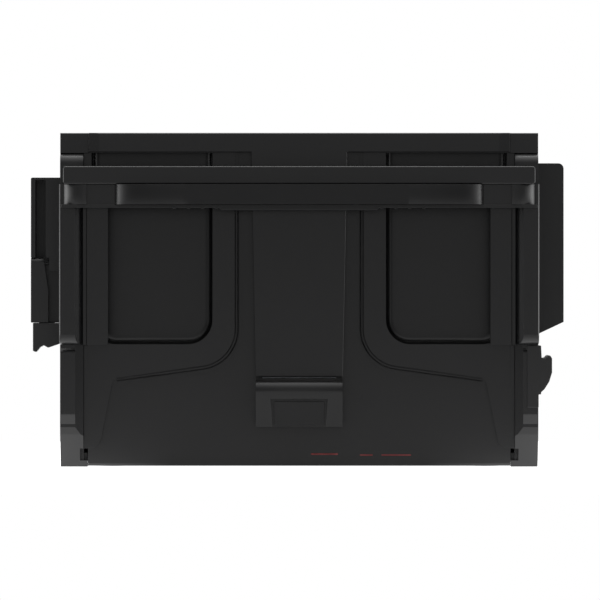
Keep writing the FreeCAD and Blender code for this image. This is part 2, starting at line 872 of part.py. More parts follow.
def front_panel():
    """The drawer front: a plate with a foot apron, two raised frames and two windows."""
    panel = new_body("front_panel", "XZ_Plane",
                     [rectangle(("-panel_half", "panel_half"), ("panel_foot", "panel_head"))],
                     "apron_y", "plate_back")
    bevel_edges(panel, "3", along("x", z=near(SIZES["panel_foot"]), y=near(SIZES["apron_y"])))
    for side in (-1, 1):
        pad(panel, "XZ_Plane", [raised_frame(side)], "frame_y", "apron_y")
    for side in (-1, 1):
        corner = near(side * SIZES["frame_inner"])
        round_edges(panel, "frame_round", along("y", x=corner, z=near(SIZES["frame_low"])))
        foot = near(side * SIZES["frame_foot_x"])
        round_edges(panel, "frame_foot_round", along("y", x=foot, z=near(SIZES["frame_foot_z"])))
        shoulder = near(side * SIZES["frame_shoulder_x"])
        round_edges(panel, "frame_shoulder_round",
                    along("y", x=shoulder, z=near(SIZES["frame_shoulder_z"])))
    for side in (-1, 1):
        pad(panel, "XZ_Plane", [frame_ledge(side)], "ledge_y", "apron_y")
        corner = near(side * (SIZES["frame_inner"] - SIZES["ledge_width"]))
        low = near(SIZES["frame_low"] - SIZES["ledge_width"])
        round_edges(panel, "frame_round + ledge_width", along("y", x=corner, z=low))
    pocket(panel, "XZ_Plane", [window(-1, 0), window(1, 0)], "frame_y", "plate_back")
    round_edges(panel, "window_round", along("y", z=near(SIZES["window_low"])))
    pocket(panel, "XZ_Plane", [rectangle(("-panel_half", "panel_half"), ("header_low", "panel_head"))],
           "frame_y", "apron_y")
    for side in (-1, 1):
        head = mirror_span(side, "header_half", "panel_half + 1")
        foot = mirror_span(side, "panel_half - rib_width", "panel_half + 1")
        pocket(panel, "XZ_Plane", [rectangle(head, ("post_high - 0.4", "panel_head + 1")),
                                   rectangle(foot, ("panel_foot - 1", "frame_foot_z - 0.5"))],
               "frame_y", "plate_back")
        rib = mirror_span(side, "panel_half - rib_width", "panel_half - 0.5")
        pad(panel, "XZ_Plane", [rectangle(rib, ("rib_low", "rib_high"))], "frame_y - rib_proud", "frame_y")
    keep(panel, "front_panel")


def recess_pans():
    """A shallow pan behind each window."""
    for side, label in ((-1, "left_recess_pan"), (1, "right_recess_pan")):
        pan = new_body(label, "XZ_Plane", [window(side, "pan_wall")], "plate_back", "pan_back")
        pocket(pan, "XZ_Plane", [window(side, 0)], "plate_back", "pan_back - pan_wall")
        round_edges(pan, "window_round",
                    along("y", z=near(SIZES["window_low"]), y=(SIZES["plate_back"] + 1, SIZES["pan_back"])))
        keep(pan, label)


def spine_cover():
    """The tapered centre cover and the header in one piece, like a letter T."""
    plan = [("header_half", "apron_y"), ("header_half", "spine_y + 2"), ("header_flat", "spine_y"),
            ("-header_flat", "spine_y"), ("-header_half", "spine_y + 2"), ("-header_half", "apron_y")]
    cover = new_body("spine_cover", "XY_Plane", [plan], "header_low", "top_z")
    column = [("spine_top_half", "header_low + 2"), ("spine_low_half", "spine_low"),
              ("-spine_low_half", "spine_low"), ("-spine_top_half", "header_low + 2")]
    pad(cover, "XZ_Plane", [column], "spine_y", "apron_y")
    round_edges(cover, "edge_round", along("x", z=near(SIZES["top_z"]), y=near(SIZES["spine_y"])))
    keep(cover, "spine_cover")


def elliptic_bar(name, flat_half, end_half, back, front, low, high):
    """A bar whose ends sweep back in plan as quarter ellipses."""
    run = end_half - flat_half
    depth = back - front
    right = Part.Ellipse(FreeCAD.Vector(flat_half, back, low), max(run, depth), min(run, depth))
    left = Part.Ellipse(FreeCAD.Vector(-flat_half, back, low), max(run, depth), min(run, depth))
    edges = [Part.Arc(right, 1.5 * math.pi, 2 * math.pi).toShape(),
             Part.LineSegment(FreeCAD.Vector(end_half, back, low),
                              FreeCAD.Vector(-end_half, back, low)).toShape(),
             Part.Arc(left, math.pi, 1.5 * math.pi).toShape(),
             Part.LineSegment(FreeCAD.Vector(-flat_half, front, low),
                              FreeCAD.Vector(flat_half, front, low)).toShape()]
    face = Part.Face(Part.Wire(Part.__sortEdges__(edges)))
    bar = DOC.addObject("Part::Feature", name)
    bar.Shape = face.extrude(FreeCAD.Vector(0, 0, high - low))
    return bar


def handle():
    """Cap slab, bowed plate, soft grip and the ridged strip under them."""
    side_view = [("cap_front", "cap_low"), ("cap_front_top", "cap_high"), ("spine_y", "cap_high"),
                 ("spine_y", "cap_low")]
    cap = new_body("handle_cap", "YZ_Plane", [side_view], "-cap_half", "cap_half")
    round_edges(cap, "cap_round", along("y", z=(SIZES["cap_low"] - 1, SIZES["cap_high"] + 1)))
    round_edges(cap, "edge_round", along("x", z=near(SIZES["cap_high"]), y=near(SIZES["cap_front_top"])))
    keep(cap, "handle_cap")

    bowed = elliptic_bar("bowed", SIZES["plate_end_flat"], SIZES["cap_half"], SIZES["bar_back"],
                         SIZES["plate_front"], SIZES["bar_low"], SIZES["bar_high"])
    step = block("plate_step", ("-plate_end_flat", "plate_end_flat"), ("plate_front - 1", "plate_step"),
                 ("bar_low - 1", "bar_high + 1"))
    keep(cut("handle_plate", bowed, [step]), "handle_plate")
    grip = elliptic_bar("handle_grip", SIZES["grip_flat"], SIZES["grip_half"], SIZES["plate_step"],
                        SIZES["grip_front"], SIZES["bar_low"], SIZES["bar_high"])
    keep(grip, "handle_grip")

    strip = [("-trim_half", "bar_low"), ("-trim_half", "trim_low"), ("-drop_half - 3", "trim_low"),
             ("-drop_half", "trim_drop"), ("drop_half", "trim_drop"), ("drop_half + 3", "trim_low"),
             ("trim_half", "trim_low"), ("trim_half", "bar_low")]
    trim = new_body("handle_lower_trim", "XZ_Plane", [strip], "plate_front + 2", "bar_back")
    ridges = []
    for side in (-1, 1):
        for i in range(4):
            middle = f"{side} * (ridge_first + {i} * ridge_pitch)"
            ridges.append(rectangle((f"{middle} - ridge_half", f"{middle} + ridge_half"),
                                    ("trim_low - ridge_depth", "trim_low")))
    pad(trim, "XZ_Plane", ridges, "plate_front + 2", "bar_back")
    keep(trim, "handle_lower_trim")


def stiles():
    """Two uprights from the drawer front out to the ends of the handle."""
    for side, label in ((-1, "left_stile"), (1, "right_stile")):
        plan = [(mirrored(side, x), y) for x, y in (
            ("stile_inner", "frame_y"), ("stile_inner", "stile_flange_y"),
            ("flange_edge", "stile_flange_y"), ("flange_edge + 1", "stile_groove_y"),
            ("post_inner", "stile_groove_y"), ("post_bevel", "bar_back"),
            ("stile_outer", "bar_back"), ("stile_outer", "stile_back"),
            ("flange_edge + 0.5", "stile_back"), ("flange_edge + 0.5", "frame_y"))]
        stile = new_body(label, "XY_Plane", [plan], "stile_low", "cap_low")
        front = near(SIZES["bar_back"])
        round_edges(stile, "stile_round", along("x", z=near(SIZES["stile_low"]), y=front))
        round_edges(stile, "stile_side_round", along("z", x=near(side * SIZES["stile_outer"]), y=front))
        keep(stile, label)


def bin_group():
    """Liner, waste bin, the rim that clamps the bag and the brackets between them."""
    keep(block("inner_liner", ("-liner_half", "liner_half"), ("pan_back", "pan_back + plate_t"),
               ("liner_low", "bin_high")),
         "inner_liner")
    waste = new_body("waste_bin", "XY_Plane",
                     [rectangle(("-bin_half", "bin_half"), ("bin_front", "bin_rear"))],
                     "bin_low", "bin_high")
    inside = rectangle(("-bin_half + bin_wall", "bin_half - bin_wall"),
                       ("bin_front + bin_wall", "bin_rear - bin_wall"))
    pocket(waste, "XY_Plane", [inside], "bin_low + bin_wall", "bin_high")
    keep(waste, "waste_bin")
    rim = new_body("bag_rim", "XY_Plane",
                   [rectangle(("-bin_half", "bin_half"), ("bin_front", "bin_rear")),
                    rectangle(("-bin_half + rim_inset", "bin_half - rim_inset"),
                              ("bin_front + rim_end_inset", "bin_rear - rim_end_inset"))],
                   "bin_high", "rim_high")
    keep(rim, "bag_rim")
    brackets = []
    for side in (-1, 1):
        brackets.append(block("bin_bracket", mirror_span(side, "bin_bracket_inner", "bin_bracket_outer"),
                              ("pan_back + plate_t", "bin_front"), ("bin_bracket_low", "bin_bracket_high")))
        brackets.append(block("rail_bracket", mirror_span(side, "bin_half + 1", "bin_half + 15"),
                              ("plate_back", "-rail_half_length"), ("rail_low + 6", "rail_high - 6")))
    keep(group("drawer_brackets", brackets), "drawer_brackets")


# --------------------------------------------------------------- toe pedal

def toe_pedal():
    """The pedal shell, its pad, the bracket, the pin and the return spring."""
    side_view = [("pedal_back", "pedal_high"), ("pedal_front", "pedal_high"),
                 ("pedal_front + pedal_lean", "pedal_low"), ("pedal_front + 3 * pedal_lean", "pedal_low"),
                 ("pedal_back", "sight_high")]
    pedal = new_body("toe_pedal", "YZ_Plane", [side_view], "-pedal_half", "pedal_half")
    hollow = [("pedal_back + 1", "pedal_high - 6"), ("pedal_front + 3 * pedal_lean", "pedal_high - 6"),
              ("pedal_front + 13.5", "pedal_high - 11"), ("pedal_front + 16.5", "pedal_low - 1"),
              ("pedal_back + 1", "pedal_low - 1")]
    pocket(pedal, "YZ_Plane", [hollow], "-pedal_half + pedal_shell", "pedal_half - pedal_shell")
    sight = [("-sight_low_half", "pedal_low - 1"), ("sight_low_half", "pedal_low - 1"),
             ("sight_high_half", "sight_high"), ("-sight_high_half", "sight_high")]
    pocket(pedal, "XZ_Plane", [sight], "pedal_front - 1", "pedal_front + pedal_pad_back")
    pocket(pedal, "YZ_Plane", [(("pedal_pin_y", "pedal_pin_z"), "pedal_pin_r + 0.05")],
           "-pedal_half - 1", "pedal_half + 1")
    round_edges(pedal, "pedal_round", along("x", y=near(SIZES["pedal_front"]), z=near(SIZES["pedal_high"])))
    keep(pedal, "toe_pedal")
    pad_view = [("pedal_front + pedal_lean", "pedal_pad_high"),
                ("pedal_front + pedal_lean + 4", "pedal_pad_low"),
                ("pedal_front + pedal_pad_back", "pedal_pad_low"),
                ("pedal_front + pedal_pad_back", "pedal_pad_high")]
    keep(new_body("pedal_pad", "YZ_Plane", [pad_view], "-pedal_pad_half", "pedal_pad_half"), "pedal_pad")

    bracket = new_body("pedal_bracket", "XZ_Plane",
                       [rectangle(("-bracket_half", "bracket_half"), ("bracket_low", "spine_low - 1"))],
                       "apron_y - plate_t", "apron_y")
    for side in (-1, 1):
        low, high = mirror_span(side, "ear_inner", "ear_outer")
        ear = rectangle(("pedal_pin_y - ear_reach", "apron_y - plate_t"),
                        ("pedal_pin_z - ear_reach", "pedal_pin_z + ear_reach"))
        pad(bracket, "YZ_Plane", [ear], low, high)
        pocket(bracket, "YZ_Plane", [(("pedal_pin_y", "pedal_pin_z"), "pedal_pin_r + 0.02")], low, high)
    keep(bracket, "pedal_bracket")
    keep(rod("pedal_pin", "x", ("-pedal_half", "pedal_pin_y", "pedal_pin_z"), "pedal_pin_r",
             "2 * pedal_half"), "pedal_pin")

    coil_r = SIZES["pedal_pin_r"] + SIZES["coil_gap"]
    coil = Part.makeHelix(SIZES["coil_pitch"], SIZES["coil_length"], coil_r)
    start = FreeCAD.Vector(coil_r, 0, 0)
    section = Part.Wire(Part.makeCircle(SIZES["coil_wire"], start, FreeCAD.Vector(0, 1, 0)))
    wire = Part.Wire(coil.Edges).makePipeShell([section], True, True)
    wire.rotate(FreeCAD.Vector(), FreeCAD.Vector(0, 1, 0), 90)
    wire.translate(FreeCAD.Vector(-0.5 * SIZES["coil_length"], SIZES["pedal_pin_y"], SIZES["pedal_pin_z"]))
    spring = DOC.addObject("Part::Feature", "pedal_spring")
    spring.Shape = wire
    keep(spring, "pedal_spring")


def indicator_marks():
    """Three thin red dashes low on the apron."""
    spans = (("long_mark_left", "long_mark_right", "long_mark_low", "long_mark_high"),
             ("short_mark_left", "short_mark_right", "thin_mark_low", "thin_mark_high"),
             ("wide_mark_left", "wide_mark_right", "thin_mark_low", "thin_mark_high"))
    dashes = [block("dash", (left, right), ("apron_y - mark_t", "apron_y"), (low, high))
              for left, right, low, high in spans]
    keep(group("indicator_marks", dashes), "indicator_marks")


# ------------------------------------------------------- latch and controls

def latch():
    """The hollow latch housing on the left, its lever and the tooth below it."""
    shell = new_body("latch_housing", "XZ_Plane",
                     [rectangle(("latch_outer", "-half_width"), ("latch_low", "latch_high"))],
                     "latch_front", "latch_rear")
    pocket(shell, "XZ_Plane", [rectangle(("latch_outer + latch_wall", "-half_width"),
                                         ("latch_low + latch_wall", "latch_mid"))],
           "latch_front + 18", "latch_rear - latch_wall")
    pocket(shell, "XZ_Plane", [rectangle(("latch_outer - 1", "-half_width"),
                                         ("latch_low - 1", "latch_mid"))],
           "latch_front", "latch_front + 15")
    slot = rectangle(("slot_left", "slot_right"), ("latch_mid", "latch_high - latch_wall"))
    pocket(shell, "XZ_Plane", [slot], "latch_front", "latch_front + slot_deep")
    pocket(shell, "XZ_Plane", [rectangle(("slot_right + 5", "-half_width"),
                                         ("latch_mid + 8", "latch_high - 2 * latch_wall"))],
           "latch_front + 2 * latch_wall", "latch_rear - 2 * latch_wall")
    pocket(shell, "XY_Plane", [rectangle(("stem_left - 0.5", "stem_right + 0.5"),
                                         ("stem_front - 1", "stem_rear + 16"))],
           "latch_low", "latch_low + latch_wall")
    boss = rectangle(("lever_right + 1.3", "latch_inner - 0.5"), ("lever_pin_z - 10.5", "latch_mid"))
    pad(shell, "XZ_Plane", [boss], "latch_front + 1", "latch_front + 15")
    pocket(shell, "YZ_Plane", [(("latch_front + 4.5", "lever_pin_z"), "lever_pin_r + 0.05")],
           "lever_right + 0.8", "latch_inner - 1.5")
    corner = along("y", x=near(SIZES["latch_outer"]), z=near(SIZES["latch_high"]))
    round_edges(shell, "edge_round + 0.5", corner)
    keep(shell, "latch_housing")

    plan = [("latch_outer", "latch_mid - 0.5"), ("latch_outer", "latch_low + 0.5"),
            ("lever_right", "latch_low + 0.5"), ("lever_right", "lever_waist"),
            ("lever_top_right", "latch_mid - 0.5")]
    lever = new_body("latch_lever", "XZ_Plane", [plan], "lever_front", "lever_back")
    round_edges(lever, "lever_round", along("x", z=near(SIZES["latch_mid"] - 0.5)))
    pad(lever, "YZ_Plane", [(("lever_front + 5.5", "lever_pin_z"), "lever_pin_r")], "-325", "-304")
    keep(lever, "latch_lever")

    # the tooth seen from the front, left side first
    tooth = [(-335, "tooth_top"), (-335, 145), (-331.5, 143.5), (-326.5, 149.5), (-321.5, 152), (-316, 149),
             ("latch_inner", 154), ("latch_inner", "tooth_top")]
    pawl = new_body("lock_pawl", "XZ_Plane", [tooth], "latch_front", "tooth_rear")
    stem = rectangle(("stem_left", "stem_right"), ("stem_front", "stem_rear"))
    pad(pawl, "XY_Plane", [stem], "tooth_top - 1", "stem_top")
    keep(pawl, "lock_pawl")


def link_hook():
    """The hook on the right post that a neighbour's tooth drops into."""
    # the blade seen from the front, its notch between 303 and 313
    blade = [("hook_root", "hook_top"), ("hook_neck", "hook_top"), (303, 137), (306, 136),
             (309, 136.5), (311.5, 139),
             (313.6, 139.8), (316, 136), (316, 118.5), (312.5, 107), (306.5, 97.5),
             ("hook_root", "hook_mid")]
    hook = new_body("link_hook", "XZ_Plane", [blade], "hook_front", "hook_rear")
    pad(hook, "XZ_Plane", [rectangle(("hook_left", "hook_neck"), ("hook_mid", "hook_top"))],
        "hook_front", "pad_front")
    pad(hook, "XZ_Plane", [rectangle(("hook_left", "hook_root"), ("hook_low", "hook_mid"))],
        "hook_front", "pad_front")
    keep(hook, "link_hook")


def controls():
    """The housing on the right with a start button and a key switch in its top."""
    outside = [("control_inner", "control_low"), ("control_outer", "control_step"),
               ("control_outer", "control_high"), ("control_inner", "control_high")]
    housing = new_body("control_housing", "XZ_Plane", [outside], "control_front", "control_rear")
    round_edges(housing, "control_round",
                along("y", x=near(SIZES["control_outer"]), z=near(SIZES["control_high"])))
    inside = [("control_inner", "control_low + 8.5"), ("control_outer - 4.5", "control_step + 6"),
              ("control_outer - 4.5", "control_high - 7.5"), ("control_inner", "control_high - 7.5")]
    pocket(housing, "XZ_Plane", [inside], "control_front + plate_t", "control_rear - plate_t")
    flange = ("control_front + 4", "control_rear - 4")
    pad(housing, "YZ_Plane", [rectangle(flange, ("control_high - 18.5", "control_high - 3.5")),
                              rectangle(flange, ("control_low + 2.5", "control_low + 7.5"))],
        "half_width", "control_inner")
    for y, radius in (("button_y", "button_r + 0.3"), ("switch_y", "key_r + 0.05")):
        pocket(housing, "XY_Plane", [(("knob_x", y), radius)], "control_high - 7.5", "control_high")
    keep(housing, "control_housing")
    knob_top = "control_high - 0.3"
    button = new_body("start_button", "XY_Plane", [(("knob_x", "button_y"), "button_r")],
                      "control_high - 11.5", knob_top)
    pad(button, "XY_Plane", [(("knob_x", "button_y"), "button_r + 2")], "control_high - 14.5",
        "control_high - 11.5")
    keep(button, "start_button")
    key = new_body("key_switch", "XY_Plane", [(("knob_x", "switch_y"), "key_r")],
                   "control_high - 17.5", knob_top)
    slit = rectangle(("knob_x - 0.8", "knob_x + 0.8"), ("switch_y - 4.5", "switch_y + 4.5"))
    pocket(key, "XY_Plane", [slit], "control_high - 4", knob_top)
    pad(key, "XY_Plane", [(("knob_x", "switch_y"), "key_r + 2")],
        "control_high - 15.5", "control_high - 7.7")
    keep(key, "key_switch")


def filter_hatch():
    """A lift-up hatch in the top over an odour filter that hangs from the panel by its lip."""
    lip = [rectangle(("-hatch_half - lip_reach", "hatch_half + lip_reach"),
                     ("hatch_front - lip_reach", "lip_rear"))]
    cartridge = new_body("filter_cartridge", "XY_Plane", lip, "top_z - plate_t - 4", "top_z - plate_t")
    core = rectangle(("-filter_half", "filter_half"), ("filter_front", "filter_rear"))
    pad(cartridge, "XY_Plane", [core], "filter_low", "top_z - plate_t - 4")
    keep(cartridge, "filter_cartridge")

    door = new_body("filter_door", "XY_Plane",
                    [rectangle(("-hatch_half + 1", "hatch_half - 1"),
                               ("hatch_front + 1", "hatch_door_rear"))],
                    "hatch_pin_z + 0.5", "top_z")
    for side in (-1, 1):
        low, high = mirror_span(side, "hinge_x - hinge_half", "hinge_x + hinge_half")
        pad(door, "YZ_Plane", [(("hatch_pin_y", "hatch_pin_z"), "knuckle_r")], low, high)
        pad(door, "XY_Plane", [rectangle((low, high), ("hatch_door_rear", "hatch_door_rear + 2"))],
            "hatch_pin_z + 0.5", "hatch_pin_z + 2.5")
        pocket(door, "YZ_Plane", [(("hatch_pin_y", "hatch_pin_z"), "hatch_pin_r + 0.05")], low, high)
    keep(door, "filter_door")
    pin = rod("hatch_pin_rod", "x", ("-hatch_half", "hatch_pin_y", "hatch_pin_z"), "hatch_pin_r",
              "2 * hatch_half")
    lugs = [block("lug", mirror_span(side, "hatch_half", "hatch_half + 6"),
                  ("hatch_door_rear - 1", "hatch_pin_y + 4.5"), ("hatch_pin_z - 5", "hatch_pin_z"))
            for side in (-1, 1)]
    keep(fused("hatch_pin", [pin] + lugs), "hatch_pin")


def check_model():
    """Stop if any object failed, cut nothing or holds a bad shape."""
    for item in DOC.Objects:
        for state in item.State:
            if state in ("Invalid", "Error"):
                raise ValueError(f"{item.Name} is {state}")
        if item.TypeId == "PartDesign::Pocket" and item.BaseFeature:
            if item.Shape.Volume > item.BaseFeature.Shape.Volume - 0.5:
                raise ValueError(f"{item.Name} cut nothing")
    for item in NODES:
        if item.Shape.isNull() or not item.Shape.isValid() or item.Shape.Volume <= 0:
            raise ValueError(f"{item.Label} has a bad shape")


def export():
    os.makedirs("parts", exist_ok=True)
    for item in NODES:
        item.Shape.exportStep(f"parts/{item.Label}.step")
        print(f"{item.Label}: {len(item.Shape.Solids)} solids, {item.Shape.Volume / 1000:.1f} cm3")


fill_sheet()
cabinet_skins()
front_posts()
corner_caps()
side_frames()
feet()
panel_screws()
lift_screws()
drive_chain()
motor_group()
ram()
slides()
front_panel()
recess_pans()
spine_cover()
handle()
stiles()
bin_group()
toe_pedal()
indicator_marks()
latch()
link_hook()
controls()
filter_hatch()
DOC.recompute()
check_model()
export()
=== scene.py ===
import json
import math

import bmesh
import bpy
import numpy as np
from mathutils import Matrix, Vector


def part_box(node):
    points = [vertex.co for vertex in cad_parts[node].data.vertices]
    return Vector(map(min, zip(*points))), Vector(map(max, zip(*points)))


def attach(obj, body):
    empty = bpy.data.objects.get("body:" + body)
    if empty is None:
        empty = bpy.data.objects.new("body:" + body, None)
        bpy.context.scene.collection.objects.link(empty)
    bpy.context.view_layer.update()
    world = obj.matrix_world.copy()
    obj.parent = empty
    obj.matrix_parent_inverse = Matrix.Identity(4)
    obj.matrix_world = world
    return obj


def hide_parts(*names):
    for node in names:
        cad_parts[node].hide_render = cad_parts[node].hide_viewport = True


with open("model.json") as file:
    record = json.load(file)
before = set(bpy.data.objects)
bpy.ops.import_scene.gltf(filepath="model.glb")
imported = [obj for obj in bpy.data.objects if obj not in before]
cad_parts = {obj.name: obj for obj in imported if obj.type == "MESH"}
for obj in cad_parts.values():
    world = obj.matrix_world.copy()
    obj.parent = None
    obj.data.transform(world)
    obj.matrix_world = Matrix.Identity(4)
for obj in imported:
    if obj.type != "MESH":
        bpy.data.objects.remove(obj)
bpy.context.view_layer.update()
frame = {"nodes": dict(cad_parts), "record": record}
nodes = frame["nodes"]
scene = bpy.context.scene
MM = 0.001


# ------------------------------------------------------------------ effects

def new_group(name, inputs, outputs):
    """An empty shader group with named float inputs and named outputs."""
    group = bpy.data.node_groups.new(name, "ShaderNodeTree")
    for label, value in inputs.items():
        socket = group.interface.new_socket(label, in_out="INPUT", socket_type="NodeSocketFloat")
        socket.default_value = value
    for label, kind in outputs.items():
        group.interface.new_socket(label, in_out="OUTPUT", socket_type="NodeSocket" + kind)
    group.nodes.new("NodeGroupInput").name = "in"
    group.nodes.new("NodeGroupOutput").name = "out"
    return group


def maths(tree, operation, first, second=0.0, clamp=False):
    """A math node whose two operands are sockets or numbers; returns its output."""
    node = tree.nodes.new("ShaderNodeMath")
    node.operation = operation
    node.use_clamp = clamp
    for slot, value in zip(node.inputs, (first, second)):
        if isinstance(value, (int, float)):
            slot.default_value = value
        else:
            tree.links.new(value, slot)
    return node.outputs[0]


def noise(tree, vector, scale, detail=3.0, roughness=0.5):
    """A noise texture on a vector; scale is a number or a socket."""
    node = tree.nodes.new("ShaderNodeTexNoise")
    node.inputs["Detail"].default_value = detail
    node.inputs["Roughness"].default_value = roughness
    if isinstance(scale, (int, float)):
        node.inputs["Scale"].default_value = scale
    else:
        tree.links.new(scale, node.inputs["Scale"])
    tree.links.new(vector, node.inputs["Vector"])
    return node.outputs["Fac"]


def object_coordinates(tree):
    return tree.nodes.new("ShaderNodeTexCoord").outputs["Object"]


def moulded_grain():
    """Spark-eroded tool grain: two sizes of small bumps, plus a slow cloud for colour and gloss."""
    group = new_group("moulded_grain", {"Size": 900.0, "Cloud": 9.0}, {"Height": "Float", "Cloud": "Float"})
    place = object_coordinates(group)
    entry = group.nodes["in"]
    fine = noise(group, place, entry.outputs["Size"], 2.0)
    coarse = noise(group, place, maths(group, "MULTIPLY", entry.outputs["Size"], 0.31), 2.0)
    mixed = maths(group, "ADD", maths(group, "MULTIPLY", fine, 0.6), maths(group, "MULTIPLY", coarse, 0.4))
    group.links.new(mixed, group.nodes["out"].inputs["Height"])
    group.links.new(noise(group, place, entry.outputs["Cloud"], 4.0), group.nodes["out"].inputs["Cloud"])
    return group


def edge_wear():
    """A mask that is 1 where the surface turns within a radius, broken up by noise."""
    group = new_group("edge_wear", {"Radius": 0.0015, "Gain": 3.0, "Breakup": 60.0}, {"Mask": "Float"})
    entry = group.nodes["in"]
    rounded = group.nodes.new("ShaderNodeBevel")
    rounded.samples = 4
    group.links.new(entry.outputs["Radius"], rounded.inputs["Radius"])
    agree = group.nodes.new("ShaderNodeVectorMath")
    agree.operation = "DOT_PRODUCT"
    group.links.new(rounded.outputs["Normal"], agree.inputs[0])
    group.links.new(group.nodes.new("ShaderNodeNewGeometry").outputs["Normal"], agree.inputs[1])
    turned = maths(group, "SUBTRACT", 1.0, agree.outputs["Value"])
    edge = maths(group, "MULTIPLY", turned, entry.outputs["Gain"], clamp=True)
    spots = noise(group, object_coordinates(group), entry.outputs["Breakup"], 5.0, 0.6)
    torn = maths(group, "MULTIPLY", maths(group, "SUBTRACT", spots, 0.42), 4.0, clamp=True)
    group.links.new(maths(group, "MULTIPLY", edge, torn, clamp=True), group.nodes["out"].inputs["Mask"])
    return group


def settled_dust():
    """A mask of thin dust on faces that look up, patchy and streaked."""
    group = new_group("settled_dust", {"Amount": 0.5}, {"Mask": "Float"})
    entry = group.nodes["in"]
    split = group.nodes.new("ShaderNodeSeparateXYZ")
    group.links.new(group.nodes.new("ShaderNodeNewGeometry").outputs["Normal"], split.inputs[0])
    facing = maths(group, "MULTIPLY", maths(group, "SUBTRACT", split.outputs["Z"], 0.35), 1.6, clamp=True)
    patches = noise(group, object_coordinates(group), 22.0, 6.0, 0.65)
    patchy = maths(group, "MULTIPLY", facing, patches, clamp=True)
    group.links.new(maths(group, "MULTIPLY", patchy, entry.outputs["Amount"], clamp=True),
                    group.nodes["out"].inputs["Mask"])
    return group


def drawn_lines():
    """Fine parallel scratches along X, for rolled, ground and brushed metal."""
    group = new_group("drawn_lines", {"Along": 12.0, "Across": 1800.0}, {"Height": "Float"})
    entry = group.nodes["in"]
    split = group.nodes.new("ShaderNodeSeparateXYZ")
    group.links.new(object_coordinates(group), split.inputs[0])
    joined = group.nodes.new("ShaderNodeCombineXYZ")
    for axis, rate in (("X", "Along"), ("Y", "Across"), ("Z", "Across")):
        stretched = maths(group, "MULTIPLY", split.outputs[axis], entry.outputs[rate])
        group.links.new(stretched, joined.inputs[axis])
    group.links.new(noise(group, joined.outputs[0], 1.0, 3.0), group.nodes["out"].inputs["Height"])
    return group


GRAIN = moulded_grain()
WEAR = edge_wear()
DUST = settled_dust()
LINES = drawn_lines()


# ---------------------------------------------------------------- materials

PLASTIC_DUST = (0.16, 0.155, 0.15)
PAINT_DUST = (0.2, 0.195, 0.19)


def use(tree, group, **values):
    """Place a shader group in a material with its own values."""
    node = tree.nodes.new("ShaderNodeGroup")
    node.node_tree = group
    for label, value in values.items():
        node.inputs[label].default_value = value
    return node


def blend_colour(tree, mask, low, high):
    """Mix two colours, each a tuple or a socket, by a mask."""
    mix = tree.nodes.new("ShaderNodeMix")
    mix.data_type = "RGBA"
    tree.links.new(mask, mix.inputs["Factor"])
    for slot, value in ((mix.inputs["A"], low), (mix.inputs["B"], high)):
        if isinstance(value, tuple):
            slot.default_value = (*value, 1.0)
        else:
            tree.links.new(value, slot)
    return mix.outputs["Result"]


def remap(tree, value, low, high):
    """Stretch a 0 to 1 value to the range low to high."""
    return maths(tree, "ADD", maths(tree, "MULTIPLY", value, high - low), low)


def bump(tree, height, strength, distance):
    node = tree.nodes.new("ShaderNodeBump")
    node.inputs["Strength"].default_value = strength
    node.inputs["Distance"].default_value = distance
    tree.links.new(height, node.inputs["Height"])
    return node.outputs["Normal"]


def new_material(name):
    material = bpy.data.materials.new(name)
    material.use_nodes = True
    tree = material.node_tree
    return material, tree, tree.nodes["Principled BSDF"]


def plastic(name, colour, pale, rough=(0.3, 0.4), grain=0.12):
    """Moulded plastic: grain, a slow cloud in colour and gloss, rubbed edges and a little dust."""
    material, tree, shader = new_material(name)
    grainy = use(tree, GRAIN)
    worn = use(tree, WEAR)
    dusty = use(tree, DUST, Amount=0.12)
    clouded = blend_colour(tree, grainy.outputs["Cloud"], colour, tuple(1.3 * c for c in colour))
    rubbed = blend_colour(tree, maths(tree, "MULTIPLY", worn.outputs["Mask"], 0.6), clouded, pale)
    settled = blend_colour(tree, dusty.outputs["Mask"], rubbed, PLASTIC_DUST)
    tree.links.new(settled, shader.inputs["Base Color"])
    tree.links.new(remap(tree, grainy.outputs["Cloud"], *rough), shader.inputs["Roughness"])
    tree.links.new(bump(tree, grainy.outputs["Height"], grain, 0.0004), shader.inputs["Normal"])
    shader.inputs["Specular IOR Level"].default_value = 0.45
    return material


def painted(name, colour, bare, rough=(0.34, 0.5), dust=0.3):
    """Powder coat over steel: orange peel, a slow cloud, bare metal where the edges are rubbed."""
    material, tree, shader = new_material(name)
    skin = use(tree, GRAIN, Size=420.0, Cloud=6.0)
    worn = use(tree, WEAR, Radius=0.001, Gain=4.0, Breakup=90.0)
    dusty = use(tree, DUST, Amount=dust)
    clouded = blend_colour(tree, skin.outputs["Cloud"], colour, tuple(1.25 * c for c in colour))
    rubbed = blend_colour(tree, worn.outputs["Mask"], clouded, bare)
    settled = blend_colour(tree, dusty.outputs["Mask"], rubbed, PAINT_DUST)
    tree.links.new(settled, shader.inputs["Base Color"])
    tree.links.new(maths(tree, "MULTIPLY", worn.outputs["Mask"], 0.7), shader.inputs["Metallic"])
    tree.links.new(remap(tree, skin.outputs["Cloud"], *rough), shader.inputs["Roughness"])
    tree.links.new(bump(tree, skin.outputs["Height"], 0.06, 0.0006), shader.inputs["Normal"])
    shader.inputs["Specular IOR Level"].default_value = 0.35
    return material


